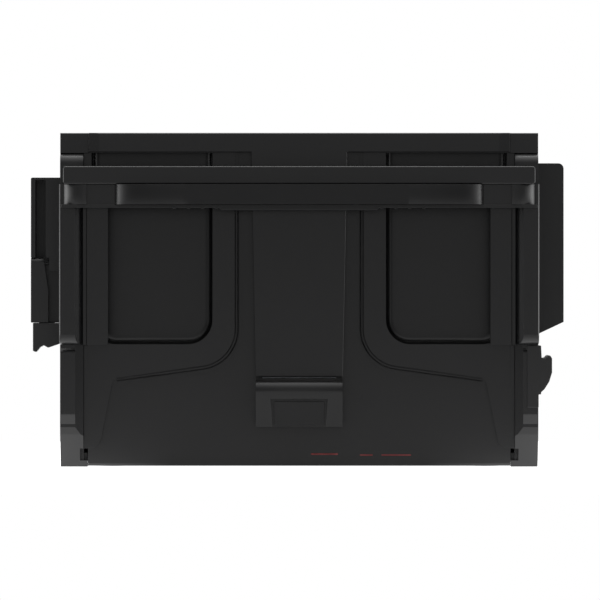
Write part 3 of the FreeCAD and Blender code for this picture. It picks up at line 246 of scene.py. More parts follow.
def metal(name, colour, stain, rough=(0.28, 0.45), lines=0.08, across=1800.0):
    """Bare or plated metal: drawn lines, a stained cloud and bright rubbed edges."""
    material, tree, shader = new_material(name)
    drawn = use(tree, LINES, Across=across)
    mottled = use(tree, GRAIN, Cloud=14.0)
    worn = use(tree, WEAR, Radius=0.001, Gain=4.0)
    base = blend_colour(tree, mottled.outputs["Cloud"], stain, colour)
    bright = blend_colour(tree, worn.outputs["Mask"], base, tuple(min(1.0, 1.25 * c) for c in colour))
    tree.links.new(bright, shader.inputs["Base Color"])
    tree.links.new(remap(tree, mottled.outputs["Cloud"], *rough), shader.inputs["Roughness"])
    tree.links.new(bump(tree, drawn.outputs["Height"], lines, 0.0003), shader.inputs["Normal"])
    shader.inputs["Metallic"].default_value = 1.0
    return material


def rubber(name, colour, pale, grain=0.25, size=1300.0):
    """Soft rubber: matt, fine grained, with pale scuffs and a faint sheen."""
    material, tree, shader = new_material(name)
    grainy = use(tree, GRAIN, Size=size, Cloud=16.0)
    worn = use(tree, WEAR, Radius=0.0025, Gain=2.5, Breakup=45.0)
    scuffed = blend_colour(tree, maths(tree, "MULTIPLY", worn.outputs["Mask"], 0.5), colour, pale)
    tree.links.new(scuffed, shader.inputs["Base Color"])
    tree.links.new(remap(tree, grainy.outputs["Cloud"], 0.27, 0.36), shader.inputs["Roughness"])
    tree.links.new(bump(tree, grainy.outputs["Height"], grain, 0.0003), shader.inputs["Normal"])
    shader.inputs["Specular IOR Level"].default_value = 0.35
    return material


def felt(name, colour, fluff):
    """Pressed charcoal felt: tangled fibres with a soft sheen."""
    material, tree, shader = new_material(name)
    fibres = use(tree, GRAIN, Size=1600.0, Cloud=120.0)
    tree.links.new(blend_colour(tree, fibres.outputs["Cloud"], colour, fluff), shader.inputs["Base Color"])
    tree.links.new(bump(tree, fibres.outputs["Height"], 0.7, 0.0008), shader.inputs["Normal"])
    shader.inputs["Roughness"].default_value = 0.95
    shader.inputs["Sheen Weight"].default_value = 0.3
    return material


BLACK = (0.0036, 0.0036, 0.0039)
PALE = (0.024, 0.024, 0.025)

FINISHES = {
    "cabinet_paint": painted("cabinet_paint", (0.0075, 0.0075, 0.008), (0.2, 0.2, 0.21), rough=(0.26, 0.38)),
    "front_plastic": plastic("front_plastic", BLACK, PALE, rough=(0.2, 0.28)),
    "handle_plastic": plastic("handle_plastic", BLACK, PALE, rough=(0.26, 0.34), grain=0.05),
    "pedal_plastic": plastic("pedal_plastic", BLACK, (0.06, 0.06, 0.06), rough=(0.2, 0.27), grain=0.12),
    "housing_plastic": plastic("housing_plastic", (0.004, 0.004, 0.0043), PALE, grain=0.14),
    "box_plastic": plastic("box_plastic", (0.03, 0.03, 0.033), (0.1, 0.1, 0.1)),
    "button_plastic": plastic("button_plastic", (0.02, 0.02, 0.021), PALE, rough=(0.18, 0.26), grain=0.02),
    "mark_red": plastic("mark_red", (0.14, 0.01, 0.01), (0.4, 0.1, 0.1), rough=(0.3, 0.4), grain=0.03),
    "grip_rubber": rubber("grip_rubber", (0.0042, 0.0042, 0.0045), (0.035, 0.035, 0.035)),
    "foot_rubber": rubber("foot_rubber", (0.016, 0.016, 0.016), (0.08, 0.08, 0.08), grain=0.4, size=700.0),
    "zinc_steel": metal("zinc_steel", (0.62, 0.64, 0.66), (0.44, 0.46, 0.5), lines=0.05),
    "bright_steel": metal("bright_steel", (0.66, 0.66, 0.68), (0.5, 0.49, 0.47), rough=(0.2, 0.35)),
    "bronze": metal("bronze", (0.62, 0.4, 0.17), (0.4, 0.24, 0.1), rough=(0.25, 0.45)),
    "bearing_steel": metal("bearing_steel", (0.75, 0.75, 0.77), (0.6, 0.6, 0.62), rough=(0.1, 0.2)),
    "chain_steel": metal("chain_steel", (0.2, 0.19, 0.18), (0.07, 0.06, 0.055), rough=(0.35, 0.6)),
    "cast_case": metal("cast_case", (0.6, 0.61, 0.62), (0.42, 0.43, 0.45), rough=(0.5, 0.7), across=300.0),
    "motor_paint": painted("motor_paint", (0.035, 0.04, 0.05), (0.4, 0.4, 0.4)),
    "bin_paint": painted("bin_paint", (0.22, 0.23, 0.24), (0.5, 0.5, 0.5)),
    "ram_paint": painted("ram_paint", (0.17, 0.18, 0.19), (0.5, 0.5, 0.5), dust=0.1),
    "filter_felt": felt("filter_felt", (0.02, 0.02, 0.02), (0.06, 0.06, 0.06)),
}


def dress_nodes():
    """Give every carried-over node the finish that its slot names, and soften its edges."""
    slots = {entry["node"]: entry["material_slot"] for entry in frame["record"]["subparts"]}
    for name, item in nodes.items():
        item.data.materials.clear()
        item.data.materials.append(FINISHES[slots[name]])
        soften(item, EDGE.get(name, 0.5 * MM))


# The moulded radius of the pieces that aren't given the usual 0.5 mm.
EDGE = {
    "handle_cap": 1.2 * MM,
    "handle_plate": 1.0 * MM,
    "handle_grip": 1.6 * MM,
    "left_stile": 0.8 * MM,
    "right_stile": 0.8 * MM,
    "front_panel": 1.2 * MM,
    "spine_cover": 1.0 * MM,
    "toe_pedal": 1.2 * MM,
    "corner_caps": 1.2 * MM,
    "left_front_post": 1.2 * MM,
    "right_front_post": 1.2 * MM,
    "latch_housing": 0.8 * MM,
    "control_housing": 1.5 * MM,
    "latch_lever": 0.8 * MM,
    "link_hook": 0.8 * MM,
    "lock_pawl": 0.8 * MM,
}


def soften(item, radius):
    """Join a node's loose triangles and round its sharp edges, without touching its mesh."""
    weld = item.modifiers.new("weld", "WELD")
    weld.merge_threshold = 0.000002
    edge = item.modifiers.new("edge", "BEVEL")
    edge.width = radius
    edge.segments = 2
    edge.limit_method = "ANGLE"
    edge.angle_limit = math.radians(32)
    edge.use_clamp_overlap = True
    edge.harden_normals = False


# ------------------------------------------------------------------- pieces

def solid(name, points, faces, body, finish):
    """Make a mesh piece from points in metres, turn it outward by its signed volume, and let it ride."""
    mesh = bpy.data.meshes.new(name)
    mesh.from_pydata(points.tolist(), [], faces)
    mesh.validate()
    tidy = bmesh.new()
    tidy.from_mesh(mesh)
    if tidy.calc_volume(signed=True) < 0:
        bmesh.ops.reverse_faces(tidy, faces=tidy.faces)
    tidy.to_mesh(mesh)
    tidy.free()
    mesh.materials.append(FINISHES[finish])
    piece = bpy.data.objects.new(name, mesh)
    scene.collection.objects.link(piece)
    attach(piece, body)
    return piece


def quads(rows, cols, loop=False):
    """Faces over a rows by cols grid whose columns close up; the first and last rows are capped or joined."""
    index = np.arange(rows * cols).reshape(rows, cols)
    lower = index if loop else index[:-1]
    upper = np.roll(index, -1, axis=0) if loop else index[1:]
    ring = np.stack([lower, np.roll(lower, -1, 1), np.roll(upper, -1, 1), upper], axis=-1)
    faces = ring.reshape(-1, 4).tolist()
    if not loop:
        faces += [index[0, ::-1].tolist(), index[-1].tolist()]
    return faces


def turned(name, centre, radius, low, high, body, finish, rows=2, cols=48):
    """A turned shape: point = centre + r(z, a) * (cos a, sin a), with z from low to high."""
    height, angle = np.meshgrid(np.linspace(low, high, rows), np.linspace(0, 2 * np.pi, cols, endpoint=False),
                                indexing="ij")
    reach = radius(height, angle)
    points = np.stack([centre[0] + reach * np.cos(angle), centre[1] + reach * np.sin(angle), height], axis=-1)
    return solid(name, points.reshape(-1, 3), quads(rows, cols), body, finish)


def repeated(points, faces, turns, shifts):
    """Copies of a small shape, each turned about Z by an angle and then moved."""
    cos, sin = np.cos(turns)[:, None], np.sin(turns)[:, None]
    x = points[None, :, 0] * cos - points[None, :, 1] * sin
    y = points[None, :, 0] * sin + points[None, :, 1] * cos
    z = np.broadcast_to(points[None, :, 2], x.shape)
    moved = np.stack([x, y, z], axis=-1) + shifts[:, None, :]
    step = len(points)
    copies = [[corner + step * i for corner in face] for i in range(len(turns)) for face in faces]
    return moved.reshape(-1, 3), copies


def prism(outline, low, high):
    """A flat outline in X and Y, carried from one height to another."""
    ring = np.array(outline)
    rows = np.stack([np.column_stack([ring, np.full(len(ring), z)]) for z in (low, high)])
    return rows.reshape(-1, 3), quads(2, len(ring))


def carried(name, path, across, profile, body, finish, loop=False):
    """A closed profile of (across, up) offsets carried along a path: point = path + u * across + v * up."""
    ahead = np.gradient(path, axis=0)
    if loop:
        ahead = np.roll(path, -1, axis=0) - np.roll(path, 1, axis=0)
    ahead /= np.linalg.norm(ahead, axis=1, keepdims=True)
    up = np.broadcast_to(np.array(across, float), path.shape)
    side = np.cross(ahead, up)
    side /= np.linalg.norm(side, axis=1, keepdims=True)
    up = np.cross(side, ahead)
    profile = np.array(profile)
    points = path[:, None] + profile[None, :, :1] * side[:, None] + profile[None, :, 1:] * up[:, None]
    return solid(name, points.reshape(-1, 3), quads(len(path), len(profile), loop), body, finish)


def ring_profile(radius, count=10):
    """Points of a circle, as offsets."""
    angle = np.linspace(0, 2 * np.pi, count, endpoint=False)
    return np.column_stack([radius * np.cos(angle), radius * np.sin(angle)])


def middle(node):
    low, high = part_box(node)
    return 0.5 * (Vector(low) + Vector(high))


WHEEL_RADIUS = 16.2 * MM
TOOTH_REACH = 1.1 * MM
TEETH = 12
WHEEL_FOOT = 2.2 * MM
WHEEL_HEAD = 7.8 * MM
THREAD_PITCH = 4 * MM
THREAD_STARTS = 3


def on_wheel(height, foot, angle, rest):
    """The sprocket's toothed rim between two heights above its foot, and the rest of the shaft elsewhere."""
    tooth = WHEEL_RADIUS + TOOTH_REACH * np.tanh(4 * np.cos(TEETH * angle))
    return np.where((height > foot + WHEEL_FOOT) & (height < foot + WHEEL_HEAD), tooth, rest)


def lift_screws():
    """Shafts with a three-start round thread, pitch 4 mm, above a twelve-tooth sprocket."""
    for side in ("left", "right"):
        node = side + "_power_screw"
        low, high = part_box(node)
        centre = middle(node)

        def radius(height, angle):
            wave = np.cos(2 * np.pi * height / THREAD_PITCH - THREAD_STARTS * angle)
            plain = (height < low.z + 24 * MM) | (height > high.z - 18 * MM)
            shaft = np.where(plain, 7.9 * MM, 7.1 * MM + 0.8 * MM * wave)
            return on_wheel(height, low.z, angle, shaft)

        screw = turned(node + "_thread", centre, radius, low.z, high.z, side + "_screw", "bright_steel",
                       560, 36)
        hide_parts(node)


def motor_wheel():
    """The motor's sprocket: the same teeth on a short stepped shaft."""
    low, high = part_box("motor_sprocket")

    def radius(height, angle):
        return on_wheel(height, low.z, angle, np.where(height < low.z + 12 * MM, 9.5 * MM, 5.9 * MM))

    wheel = turned("motor_sprocket_teeth", middle("motor_sprocket"), radius, low.z, high.z, "motor_shaft",
                   "bright_steel", 90, 72)
    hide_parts("motor_sprocket")


CHAIN_PITCH = 9.525 * MM
PITCH_RADIUS = 19.1 * MM


def chain_path():
    """The loop at the chain's pitch line: arcs of 19.1 mm round the sprockets, joined by straight runs."""
    wheels = ("left_power_screw", "right_power_screw", "motor_sprocket")
    corners = [np.array(middle(wheel))[:2] for wheel in wheels]
    arcs = []
    for i, here in enumerate(corners):
        before, after = corners[i - 1], corners[(i + 1) % 3]
        coming = (here - before) / np.linalg.norm(here - before)
        going = (after - here) / np.linalg.norm(after - here)
        start = math.atan2(-coming[0], coming[1])
        swing = (math.atan2(-going[0], going[1]) - start) % (2 * np.pi)
        angle = start + np.linspace(0, swing, 80)
        arcs.append(here + PITCH_RADIUS * np.column_stack([np.cos(angle), np.sin(angle)]))
    loop = np.concatenate(arcs + [arcs[0][:1]])
    along = np.concatenate([[0], np.cumsum(np.linalg.norm(np.diff(loop, axis=0), axis=1))])
    count = 2 * round(along[-1] / (2 * CHAIN_PITCH))
    steps = np.linspace(0, along[-1], count, endpoint=False)
    return np.column_stack([np.interp(steps, along, loop[:, k]) for k in (0, 1)])


def chain_links():
    """One plate pair and one roller to each pitch of the path; every other pair stands wider apart."""
    path = chain_path()
    ahead = np.roll(path, -1, axis=0) - path
    turns = np.arctan2(ahead[:, 1], ahead[:, 0])
    low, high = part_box("drive_chain")
    pitch = np.linalg.norm(ahead, axis=1).mean()
    span = np.linspace(0, 2 * np.pi, 16, endpoint=False)
    waist = 1.25 * MM * (1 - 0.22 * np.abs(np.sin(span)) ** 3)
    plate = np.column_stack([0.5 * pitch + (0.5 * pitch + 1.25 * MM) * np.cos(span),
                             waist * 1.05 * np.sin(span)])
    for name, levels, pick in (("chain_inner_plates", (0.7, 1.2, 2.8, 3.3), slice(0, None, 2)),
                               ("chain_outer_plates", (0.1, 0.6, 3.4, 3.9), slice(1, None, 2))):
        parts, faces = [], []
        for a, b in (levels[:2], levels[2:]):
            shape, rims = prism(plate, low.z + a * MM, low.z + b * MM)
            shifts = np.column_stack([path[pick], np.zeros(len(path[pick]))])
            moved, copies = repeated(shape, rims, turns[pick], shifts)
            offset = sum(len(p) for p in parts)
            parts.append(moved)
            faces += [[c + offset for c in face] for face in copies]
        piece = solid(name, np.concatenate(parts), faces, "cabinet", "chain_steel")
        if name == "chain_outer_plates":
            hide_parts("drive_chain")
    shape, rims = prism(ring_profile(1.15 * MM, 12), low.z + 0.15 * MM, high.z - 0.15 * MM)
    moved, copies = repeated(shape, rims, 0 * turns, np.column_stack([path, np.zeros(len(path))]))
    solid("chain_rollers", moved, copies, "cabinet", "bright_steel")


def motor_body():
    """The motor: thirty cooling ribs round the middle, smooth end bells, and a boss on top."""
    low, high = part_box("drive_motor")
    centre = middle("drive_motor")
    outer = 0.5 * (high.x - low.x)

    def radius(height, angle):
        part = (height - low.z) / (high.z - low.z)
        ribs = outer - 3.2 * MM + 1.6 * MM * (1 + np.tanh(6 * np.cos(30 * angle)))
        bell = outer - 1.5 * MM
        body = np.where((part > 0.17) & (part < 0.74), ribs, bell)
        body = np.where(part > 0.905, outer - 16.5 * MM, body)
        neck = ((part > 0.14) & (part < 0.17)) | ((part > 0.74) & (part < 0.77))
        return np.where(neck, outer - 4 * MM, body)

    shell = turned("drive_motor_ribs", centre, radius, low.z, high.z, "cabinet", "motor_paint", 110, 240)
    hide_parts("drive_motor")
    bolt, rims = prism(ring_profile(3.2 * MM, 6), high.z - 13 * MM, high.z - 8.2 * MM)
    angle = np.radians([45, 135, 225, 315])
    shifts = np.column_stack([centre.x + 34 * MM * np.cos(angle), centre.y + 34 * MM * np.sin(angle),
                              np.zeros(len(angle))])
    moved, copies = repeated(bolt, rims, angle, shifts)
    solid("motor_bolts", moved, copies, "cabinet", "bright_steel")


def bearing_rings():
    """Turned ring sections with a ball groove: two races to each bearing, and nine balls between."""
    low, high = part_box("screw_bearings")
    centres = [middle(side + "_power_screw") for side in ("left", "right")]
    places = np.array([(centre.x, centre.y, foot) for centre in centres
                       for foot in (low.z, high.z - 10 * MM)])
    inner = np.array([(8.15, 0.2), (9.6, 0.2), (9.6, 3.4), (9.1, 5), (9.6, 6.6), (9.6, 9.8),
                      (8.15, 9.8)]) * MM
    outer = np.array([(11.2, 0.2), (12.9, 0.2), (12.9, 9.8), (11.2, 9.8), (11.2, 6.6), (11.7, 5),
                      (11.2, 3.4)]) * MM
    angle = np.linspace(0, 2 * np.pi, 48, endpoint=False)
    for name, profile in (("bearing_inner_races", inner), ("bearing_outer_races", outer)):
        reach, level = profile[None, :, 0], profile[None, :, 1]
        ring = np.stack([reach * np.cos(angle)[:, None], reach * np.sin(angle)[:, None],
                         np.broadcast_to(level, (48, len(profile)))], axis=-1)
        moved, copies = repeated(ring.reshape(-1, 3), quads(48, len(profile), True), np.zeros(4), places)
        piece = solid(name, moved, copies, "cabinet", "bearing_steel")
        if name == "bearing_outer_races":
            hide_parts("screw_bearings")
    tilt, turn = np.meshgrid(np.linspace(0.12, np.pi - 0.12, 7),
                             np.linspace(0, 2 * np.pi, 12, endpoint=False), indexing="ij")
    ball = 1.5 * MM * np.stack([np.sin(tilt) * np.cos(turn), np.sin(tilt) * np.sin(turn), np.cos(tilt)], -1)
    spots = np.linspace(0, 2 * np.pi, 9, endpoint=False)
    orbit = np.column_stack([10.4 * MM * np.cos(spots), 10.4 * MM * np.sin(spots), np.full(9, 5 * MM)])
    shifts = (places[:, None] + orbit[None]).reshape(-1, 3)
    moved, copies = repeated(ball.reshape(-1, 3), quads(7, 12), np.zeros(len(shifts)), shifts)
    solid("bearing_balls", moved, copies, "cabinet", "bearing_steel")


def pedal_spring_coils():
    """Wire helices either side of the pedal: point = pin + r (cos a, sin a) across X, x growing with a."""
    low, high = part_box("pedal_spring")
    centre = middle("pedal_spring")
    reach = 0.5 * (high.z - low.z) - 0.8 * MM
    turns = 9
    angle = np.linspace(0, 2 * np.pi * turns, 24 * turns)
    x = np.linspace(low.x + 0.8 * MM, high.x - 0.8 * MM, len(angle))
    path = np.column_stack([x, centre.y + reach * np.cos(angle), centre.z + reach * np.sin(angle)])
    coil = carried("pedal_spring_wire", path, (1, 0, 0), ring_profile(0.7 * MM, 8), "drawer", "bright_steel")
    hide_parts("pedal_spring")


def filter_pleats():
    """A pleated charcoal block in a frame: a zigzag of forty folds in X, carried along Y."""
    low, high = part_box("filter_cartridge")
    folds = 40
    x = np.linspace(low.x + 4 * MM, high.x - 4 * MM, 2 * folds + 1)
    zig = np.where(np.arange(2 * folds + 1) % 2 == 0, 0.0, 4.5 * MM)
    top = np.column_stack([x, high.z - 5 * MM + zig])
    bottom = np.column_stack([x, low.z + 0.5 * MM + zig])[::-1]
    ring = np.concatenate([top, bottom])
    y = np.linspace(low.y + 4 * MM, high.y - 4 * MM, 2)
    points = np.stack([np.column_stack([ring[:, 0], np.full(len(ring), level), ring[:, 1]]) for level in y])
    pleats = solid("filter_pleats", points.reshape(-1, 3), quads(2, len(ring)), "cabinet", "filter_felt")
    inset = 2.2 * MM
    corners = np.array([(low.x + inset, low.y + inset), (high.x - inset, low.y + inset),
                        (high.x - inset, high.y - inset), (low.x + inset, high.y - inset)])
    outer = box_ring(corners, 2.0 * MM, low.z + 0.2 * MM, high.z - 0.2 * MM)
    solid("filter_frame", outer, quads(4, 4, True), "cabinet", "box_plastic")
    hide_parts("filter_cartridge")


def box_ring(corners, half, low, high):
    """Four mitred corners of a square section, as a grid that closes both ways."""
    step = np.sign(corners - corners.mean(axis=0)) * half
    rows = [[(*near, low), (*far, low), (*far, high), (*near, high)]
            for near, far in zip(corners - step, corners + step)]
    return np.array(rows).reshape(-1, 3)


def screw_heads(name, places, normal, size):
    """Domed heads with a cross recess: height = dome(r) less the recess where |u| or |v| is small."""
    reach, angle = np.meshgrid(np.linspace(0.02, 1, 9), np.linspace(0, 2 * np.pi, 48, endpoint=False),
                               indexing="ij")
    u, v = reach * np.cos(angle), reach * np.sin(angle)
    height = 0.45 * (1 - reach ** 2.6)
    cross = ((np.abs(u) < 0.13) | (np.abs(v) < 0.13)) & (reach < 0.62)
    height = np.where(cross, height - 0.34, height)
    rim = np.stack([u[-1], v[-1], np.full(48, -0.05)], axis=-1)[None]
    cap = np.concatenate([np.stack([u, v, height], axis=-1), rim]) * size
    axis = np.array(normal, float)
    helper = np.array([0, 0, 1.0]) if abs(axis[2]) < 0.5 else np.array([1.0, 0, 0])
    first = np.cross(helper, axis)
    second = np.cross(axis, first)
    shape = cap.reshape(-1, 3) @ np.stack([first, second, axis])
    places = np.array(places, float)
    moved, copies = repeated(shape, quads(10, 48), np.zeros(len(places)), places)
    return solid(name, moved, copies, "cabinet", "bright_steel")


def cabinet_screws():
    """Heads in the rear panel's holes, along both sides and on the top."""
    rear_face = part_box("rear_panel")[1].y
    rear = [(x, rear_face - 2.4 * MM, z) for x in (-0.29, 0.29) for z in (0.04, 0.21, 0.39)]
    piece = screw_heads("rear_screw_heads", rear, (0, 1, 0), 2.5 * MM)
    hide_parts("panel_screws")
    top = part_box("top_panel")[1].z
    spots = [(x, y, top + 0.05 * MM) for x in (-0.283, 0.283) for y in (-0.11, 0.04, 0.19, 0.262)]
    screw_heads("top_screw_heads", spots, (0, 0, 1), 3.2 * MM)
    for side, label in ((-1, "left"), (1, "right")):
        low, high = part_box(label + "_side_panel")
        face = high.x if side > 0 else low.x
        spots = [(face + side * 0.05 * MM, y, z) for y in (0.03, 0.15, 0.255) for z in (0.022, 0.4)]
        screw_heads(label + "_side_screw_heads", spots, (side, 0, 0), 3.2 * MM)


def side_beads():
    """Two pressed stiffening beads down each side: rounded bars 12 mm wide that stand 1.6 mm proud."""
    for side, label in ((-1, "left"), (1, "right")):
        low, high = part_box(label + "_side_panel")
        face = high.x if side > 0 else low.x
        turn = np.linspace(0, 2 * np.pi, 64, endpoint=False)
        straight = 0.5 * (high.z - low.z) - 60 * MM
        for number, y in enumerate((0.085, 0.2)):
            rows = []
            for reach, lift in ((1.0, -1.0), (1.0, 0.0), (0.82, 0.9), (0.55, 1.45), (0.2, 1.6)):
                half = 6 * MM * reach
                z = np.clip(np.sin(turn) * 4, -1, 1) * straight + half * np.sin(turn)
                rows.append(np.column_stack([np.full(64, face + side * lift * MM), y + half * np.cos(turn),
                                             0.5 * (low.z + high.z) + z]))
            name = f"{label}_side_bead_{number}"
            solid(name, np.concatenate(rows), quads(5, 64), "cabinet", "cabinet_paint")


def frame_beads():
    """A double bead with a groove between, down the inside of each raised frame and along its lower edge."""
    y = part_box("front_panel")[0].y + 2.0 * MM
    inner, bend_z, bend_radius = 78.6, 172.2, 48.4
    head, end_x, end_z = 322, 229, 109.0
    arc = np.linspace(0, math.radians(82.5), 24)
    down = np.column_stack([np.full(20, inner), np.linspace(head, bend_z, 20)])
    bend = np.column_stack([inner + bend_radius * (1 - np.cos(arc)), bend_z - bend_radius * np.sin(arc)])
    slant = np.column_stack([np.linspace(bend[-1, 0], end_x, 30), np.linspace(bend[-1, 1], end_z, 30)])
    line = np.concatenate([down, bend[1:], slant[1:]])
    outline = np.array([(-2.6, -4.0), (2.6, -4.0), (2.5, -0.2), (1.8, 0.9), (1.1, 0.2), (0.7, -1.8),
                        (-0.7, -1.8), (-1.1, 0.2), (-1.8, 0.9), (-2.5, -0.2)]) * MM
    for side, label in ((-1, "left"), (1, "right")):
        path = np.column_stack([side * line[:, 0], np.full(len(line), y / MM), line[:, 1]]) * MM
        carried(label + "_frame_bead", path, (0, -1, 0), outline, "drawer", "front_plastic")


def floor_seals():
    """A rubber block behind each front foot that closes the notch over the base tray's rim."""
    low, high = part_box("base_pan")
    for side, label in ((-1, "left"), (1, "right")):
        near, far = sorted((side * 265 * MM, side * 283 * MM))
        front, back = low.y - 21 * MM, low.y - 1 * MM
        outline = [(near, front), (far, front), (far, back), (near, back)]
        points, faces = prism(outline, low.z - 5 * MM, high.z + 4 * MM)
        soften(solid(label + "_floor_seal", points, faces, "cabinet", "foot_rubber"), 1 * MM)


def recess_coves():
    """A concave round of radius r where each recess meets its back, centred (r, r) off the corner."""
    low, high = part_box("right_recess_pan")
    wall = 3 * MM
    radius = 11 * MM
    corner = 31 * MM
    inner, outer, floor, back = low.x + wall, high.x - wall, low.z + wall, high.y - wall
    turn = np.linspace(0, 0.5 * np.pi, 16)
    down = np.column_stack([np.full(12, inner), np.linspace(high.z - wall, floor + corner, 12)])
    first = np.column_stack([inner + corner * (1 - np.cos(turn)), floor + corner * (1 - np.sin(turn))])
    along = np.column_stack([np.linspace(inner + corner, outer - corner, 8), np.full(8, floor)])
    second = np.column_stack([outer - corner * (1 - np.sin(turn)), floor + corner * (1 - np.cos(turn))])
    rise = np.column_stack([np.full(12, outer), np.linspace(floor + corner, high.z - wall, 12)])
    line = np.concatenate([down, first[1:], along[1:], second[1:], rise[1:]])
    hollow = np.column_stack([radius * (1 - np.sin(turn)), radius * (1 - np.cos(turn))])
    outline = np.concatenate([[(-MM, -MM), (radius, -MM)], hollow, [(-MM, radius)]])
    for side, label in ((-1, "left"), (1, "right")):
        path = np.column_stack([side * line[:, 0], np.full(len(line), back), line[:, 1]])
        carried(label + "_recess_cove", path, (0, -1, 0), outline * (-side, 1), "drawer", "front_plastic")


def ram_bolts():
    """Hexagon heads with washers beside the foot of the tower."""
    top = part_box("ram_plate")[1].z
    spots = np.array([(x, y, top) for x in (-0.175, 0.175) for y in (-0.03, 0.065)])
    washer, rims = prism(ring_profile(8 * MM, 24), 0.0, 1.4 * MM)
    moved, copies = repeated(washer, rims, np.zeros(4), spots)
    solid("ram_washers", moved, copies, "ram", "bright_steel")
    head, rims = prism(ring_profile(6 * MM, 6), 1.4 * MM, 6.6 * MM)
    moved, copies = repeated(head, rims, np.array([0.2, 0.9, 0.5, 0.1]), spots)
    solid("ram_bolt_heads", moved, copies, "ram", "bright_steel")


def foot_treads():
    """Rubber feet turned with three grip grooves: r(z) = 18 mm less a cosine dip of up to 1.4 mm."""
    low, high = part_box("feet")
    full, grooves = 18 * MM, 3

    def radius(height, angle):
        dip = 0.7 * MM * (1 - np.cos(2 * np.pi * grooves * (height - low.z) / (high.z - low.z)))
        return full - dip + 0 * angle

    for side, x in (("left", low.x + full), ("right", high.x - full)):
        for end, y in (("front", low.y + full), ("rear", high.y - full)):
            name = f"foot_{side}_{end}"
            foot = turned(name, (x, y), radius, low.z, high.z, "cabinet", "foot_rubber", 25, 64)
            if name == "foot_left_front":
                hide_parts("feet")


def inlet_pins():
    """Three flat contacts and a rim round the mains inlet at the back."""
    low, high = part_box("power_inlet")
    centre = middle("power_inlet")
    rim = np.array([(low.x + 1 * MM, high.y, low.z + 1 * MM), (high.x - 1 * MM, high.y, low.z + 1 * MM),
                    (high.x - 1 * MM, high.y, high.z - 6 * MM), (high.x - 6 * MM, high.y, high.z - 1 * MM),
                    (low.x + 6 * MM, high.y, high.z - 1 * MM), (low.x + 1 * MM, high.y, high.z - 6 * MM)])
    profile = np.array([(-1.0, -0.5), (1.0, -0.5), (0.8, 1.2), (-0.8, 1.2)]) * MM
    carried("inlet_rim", rim, (0, 1, 0), profile, "cabinet", "box_plastic", loop=True)
    spots = [(centre.x + dx * MM, centre.z + dz * MM) for dx, dz in ((-8, -3), (8, -3), (0, 4))]
    section = np.array([(-1, -3), (1, -3), (1, 3), (-1, 3)]) * MM
    points = np.array([(x + dx, level, z + dz) for x, z in spots
                       for level in (high.y - 1 * MM, high.y + 1.2 * MM) for dx, dz in section])
    faces = [[corner + 8 * i for corner in face] for i in range(len(spots)) for face in quads(2, 4)]
    solid("inlet_contacts", points, faces, "cabinet", "bright_steel")


def bin_beads():
    """Two pressed rings round the bin's walls, on the rounded square |x|^14 + |y|^14 = 1."""
    low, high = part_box("waste_bin")
    centre = middle("waste_bin")
    power = 14
    turn = np.linspace(0, 2 * np.pi, 96, endpoint=False)
    square = (np.abs(np.cos(turn)) ** power + np.abs(np.sin(turn)) ** power) ** (-1 / power)
    x = centre.x + 0.5 * (high.x - low.x) * square * np.cos(turn)
    y = centre.y + 0.5 * (high.y - low.y) * square * np.sin(turn)
    for number, part in enumerate((0.3, 0.62)):
        path = np.column_stack([x, y, np.full(len(turn), low.z + part * (high.z - low.z))])
        carried(f"bin_ring_{number}", path, (0, 0, 1), ring_profile(0.45 * MM, 8), "drawer", "bin_paint",
                loop=True)


def control_marks():
    """A raised ring round the start button and tick marks beside the key, with no lettering."""
    low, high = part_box("start_button")
    centre = middle("start_button")
    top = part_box("control_housing")[1].z
    angle = np.linspace(0, 2 * np.pi, 48, endpoint=False)
    reach = 0.5 * (high.x - low.x) + 2.2 * MM
    path = np.column_stack([centre.x + reach * np.cos(angle), centre.y + reach * np.sin(angle),
                            np.full(48, top)])
    carried("button_ring", path, (0, 0, 1), ring_profile(0.7 * MM, 8), "cabinet", "button_plastic",
            loop=True)
    key = middle("key_switch")
    ticks = np.radians([90, 135, 180])
    outline = np.array([(9, -0.4), (11.5, -0.4), (11.5, 0.4), (9, 0.4)]) * MM
    mark, rims = prism(outline, top - 0.2 * MM, top + 0.25 * MM)
    moved, copies = repeated(mark, rims, ticks, np.array([(key.x, key.y, 0)] * len(ticks)))
    solid("key_ticks", moved, copies, "cabinet", "zinc_steel")


# ------------------------------------------------------------------- studio

AMBIENT = 0.13
FRONT_GLOW = 0.38
SIDE_GLOW = 4.8
TOP_GLOW = 2.2
BACK_GLOW = 1.0
NEAR_FLOOR_GLOW = 1.95
MIDDLE_FLOOR_GLOW = 0.2
FAR_FLOOR_GLOW = 0.2
SEEN_FLOOR_GLOW = 1.3
FLOOR_HALF = 1.6
NEAR_REACH = 0.72
NEAR_FADE = 0.4
MIDDLE_HALF = 0.16
MIDDLE_FADE = 0.14


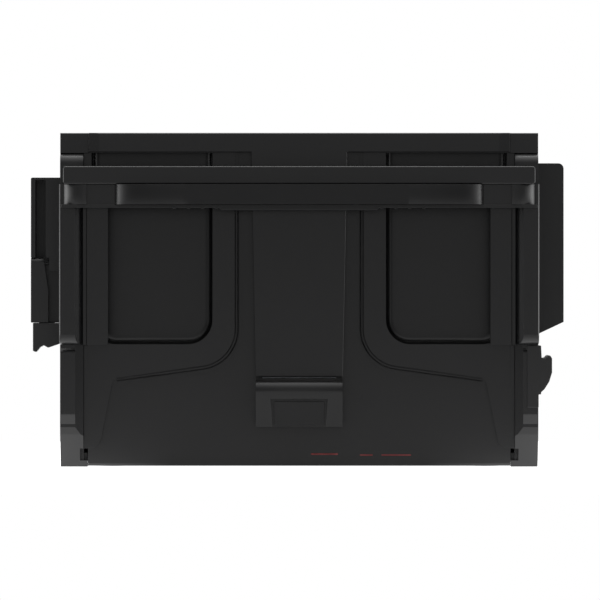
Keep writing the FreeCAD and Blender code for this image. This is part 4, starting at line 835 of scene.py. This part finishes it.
def studio():
    """A floor that looks white, white surroundings, and soft light that is strongest from the sides."""
    mesh = bpy.data.meshes.new("floor")
    reach = FLOOR_HALF
    corners = [(-reach, -reach, 0), (reach, -reach, 0), (reach, reach, 0), (-reach, reach, 0)]
    mesh.from_pydata(corners, [], [(0, 1, 2, 3)])
    floor = bpy.data.objects.new("floor", mesh)
    scene.collection.objects.link(floor)
    material, tree, shader = new_material("floor_white")
    shader.inputs["Base Color"].default_value = (0.45, 0.45, 0.45, 1)
    shader.inputs["Roughness"].default_value = 0.9
    shader.inputs["Emission Color"].default_value = (1, 1, 1, 1)
    reach = tree.nodes.new("ShaderNodeVectorMath")
    reach.operation = "LENGTH"
    tree.links.new(object_coordinates(tree), reach.inputs[0])
    left = maths(tree, "SUBTRACT", NEAR_REACH, reach.outputs["Value"])
    near = maths(tree, "DIVIDE", left, NEAR_FADE, clamp=True)
    split = tree.nodes.new("ShaderNodeSeparateXYZ")
    tree.links.new(object_coordinates(tree), split.inputs[0])
    sideways = maths(tree, "SUBTRACT", maths(tree, "ABSOLUTE", split.outputs["X"]), MIDDLE_HALF)
    aside = maths(tree, "DIVIDE", sideways, MIDDLE_FADE, clamp=True)
    strongest = remap(tree, aside, MIDDLE_FLOOR_GLOW, NEAR_FLOOR_GLOW)
    lit = maths(tree, "MULTIPLY", maths(tree, "POWER", near, 2.2), strongest)
    glow = maths(tree, "ADD", lit, FAR_FLOOR_GLOW)
    path = tree.nodes.new("ShaderNodeLightPath")
    seen = maths(tree, "MULTIPLY", path.outputs["Is Camera Ray"], SEEN_FLOOR_GLOW)
    tree.links.new(maths(tree, "MAXIMUM", glow, seen), shader.inputs["Emission Strength"])
    mesh.materials.append(material)

    world = bpy.data.worlds.new("studio")
    scene.world = world
    world.use_nodes = True
    tree = world.node_tree
    tree.nodes.clear()
    output = tree.nodes.new("ShaderNodeOutputWorld")
    seen = tree.nodes.new("ShaderNodeBackground")
    seen.inputs["Color"].default_value = (1, 1, 1, 1)
    glow = tree.nodes.new("ShaderNodeBackground")
    glow.inputs["Color"].default_value = (1, 1, 1, 1)
    tree.links.new(surround(tree), glow.inputs["Strength"])
    choose = tree.nodes.new("ShaderNodeMixShader")
    path = tree.nodes.new("ShaderNodeLightPath")
    tree.links.new(path.outputs["Is Camera Ray"], choose.inputs[0])
    tree.links.new(glow.outputs[0], choose.inputs[1])
    tree.links.new(seen.outputs[0], choose.inputs[2])
    tree.links.new(choose.outputs[0], output.inputs["Surface"])

    soft_light("top_softbox", (0, 0.5, 2.4), (0, 0, 0.2), 1.8, 14)


def surround(tree):
    """Brightness of the room by direction: dim in front, brighter to the sides, behind and overhead."""
    split = tree.nodes.new("ShaderNodeSeparateXYZ")
    tree.links.new(tree.nodes.new("ShaderNodeTexCoord").outputs["Generated"], split.inputs[0])
    sideways = maths(tree, "POWER", maths(tree, "ABSOLUTE", split.outputs["X"]), 12.0)
    forward = maths(tree, "MULTIPLY", split.outputs["Y"], -1.0)
    ahead = maths(tree, "POWER", maths(tree, "MAXIMUM", forward, 0.0), 6.0)
    overhead = maths(tree, "POWER", maths(tree, "MAXIMUM", split.outputs["Z"], 0.0), 3.0)
    behind = maths(tree, "MAXIMUM", split.outputs["Y"], 0.0)
    total = maths(tree, "ADD", maths(tree, "MULTIPLY", sideways, SIDE_GLOW), AMBIENT)
    total = maths(tree, "ADD", total, maths(tree, "MULTIPLY", ahead, FRONT_GLOW))
    total = maths(tree, "ADD", total, maths(tree, "MULTIPLY", overhead, TOP_GLOW))
    return maths(tree, "ADD", total, maths(tree, "MULTIPLY", behind, BACK_GLOW))


def soft_light(name, place, target, size, power):
    """A square area light that looks at a target."""
    data = bpy.data.lights.new(name, "AREA")
    data.size = size
    data.energy = power
    lamp = bpy.data.objects.new(name, data)
    scene.collection.objects.link(lamp)
    aim(lamp, place, target)


def aim(item, place, target):
    """Stand an object at a place with its -Z axis towards a target."""
    item.location = place
    item.rotation_euler = (Vector(target) - Vector(place)).to_track_quat("-Z", "Y").to_euler()


def camera():
    """A long lens level with the middle of the body, 0.75 m wide at the drawer front."""
    distance = 10.0
    width = 0.75
    data = bpy.data.cameras.new("camera")
    data.sensor_width = 36.0
    data.lens = data.sensor_width * distance / width
    data.clip_end = 100.0
    shot = bpy.data.objects.new("camera", data)
    scene.collection.objects.link(shot)
    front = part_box("spine_cover")[0].y
    middle = 0.5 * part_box("top_panel")[1].z
    aim(shot, (0.001, front - distance, middle), (0.001, front, middle))
    scene.camera = shot


scene.view_settings.view_transform = "Standard"
dress_nodes()
lift_screws()
motor_wheel()
chain_links()
motor_body()
bearing_rings()
pedal_spring_coils()
filter_pleats()
cabinet_screws()
side_beads()
frame_beads()
floor_seals()
recess_coves()
ram_bolts()
foot_treads()
inlet_pins()
bin_beads()
control_marks()
studio()
camera()
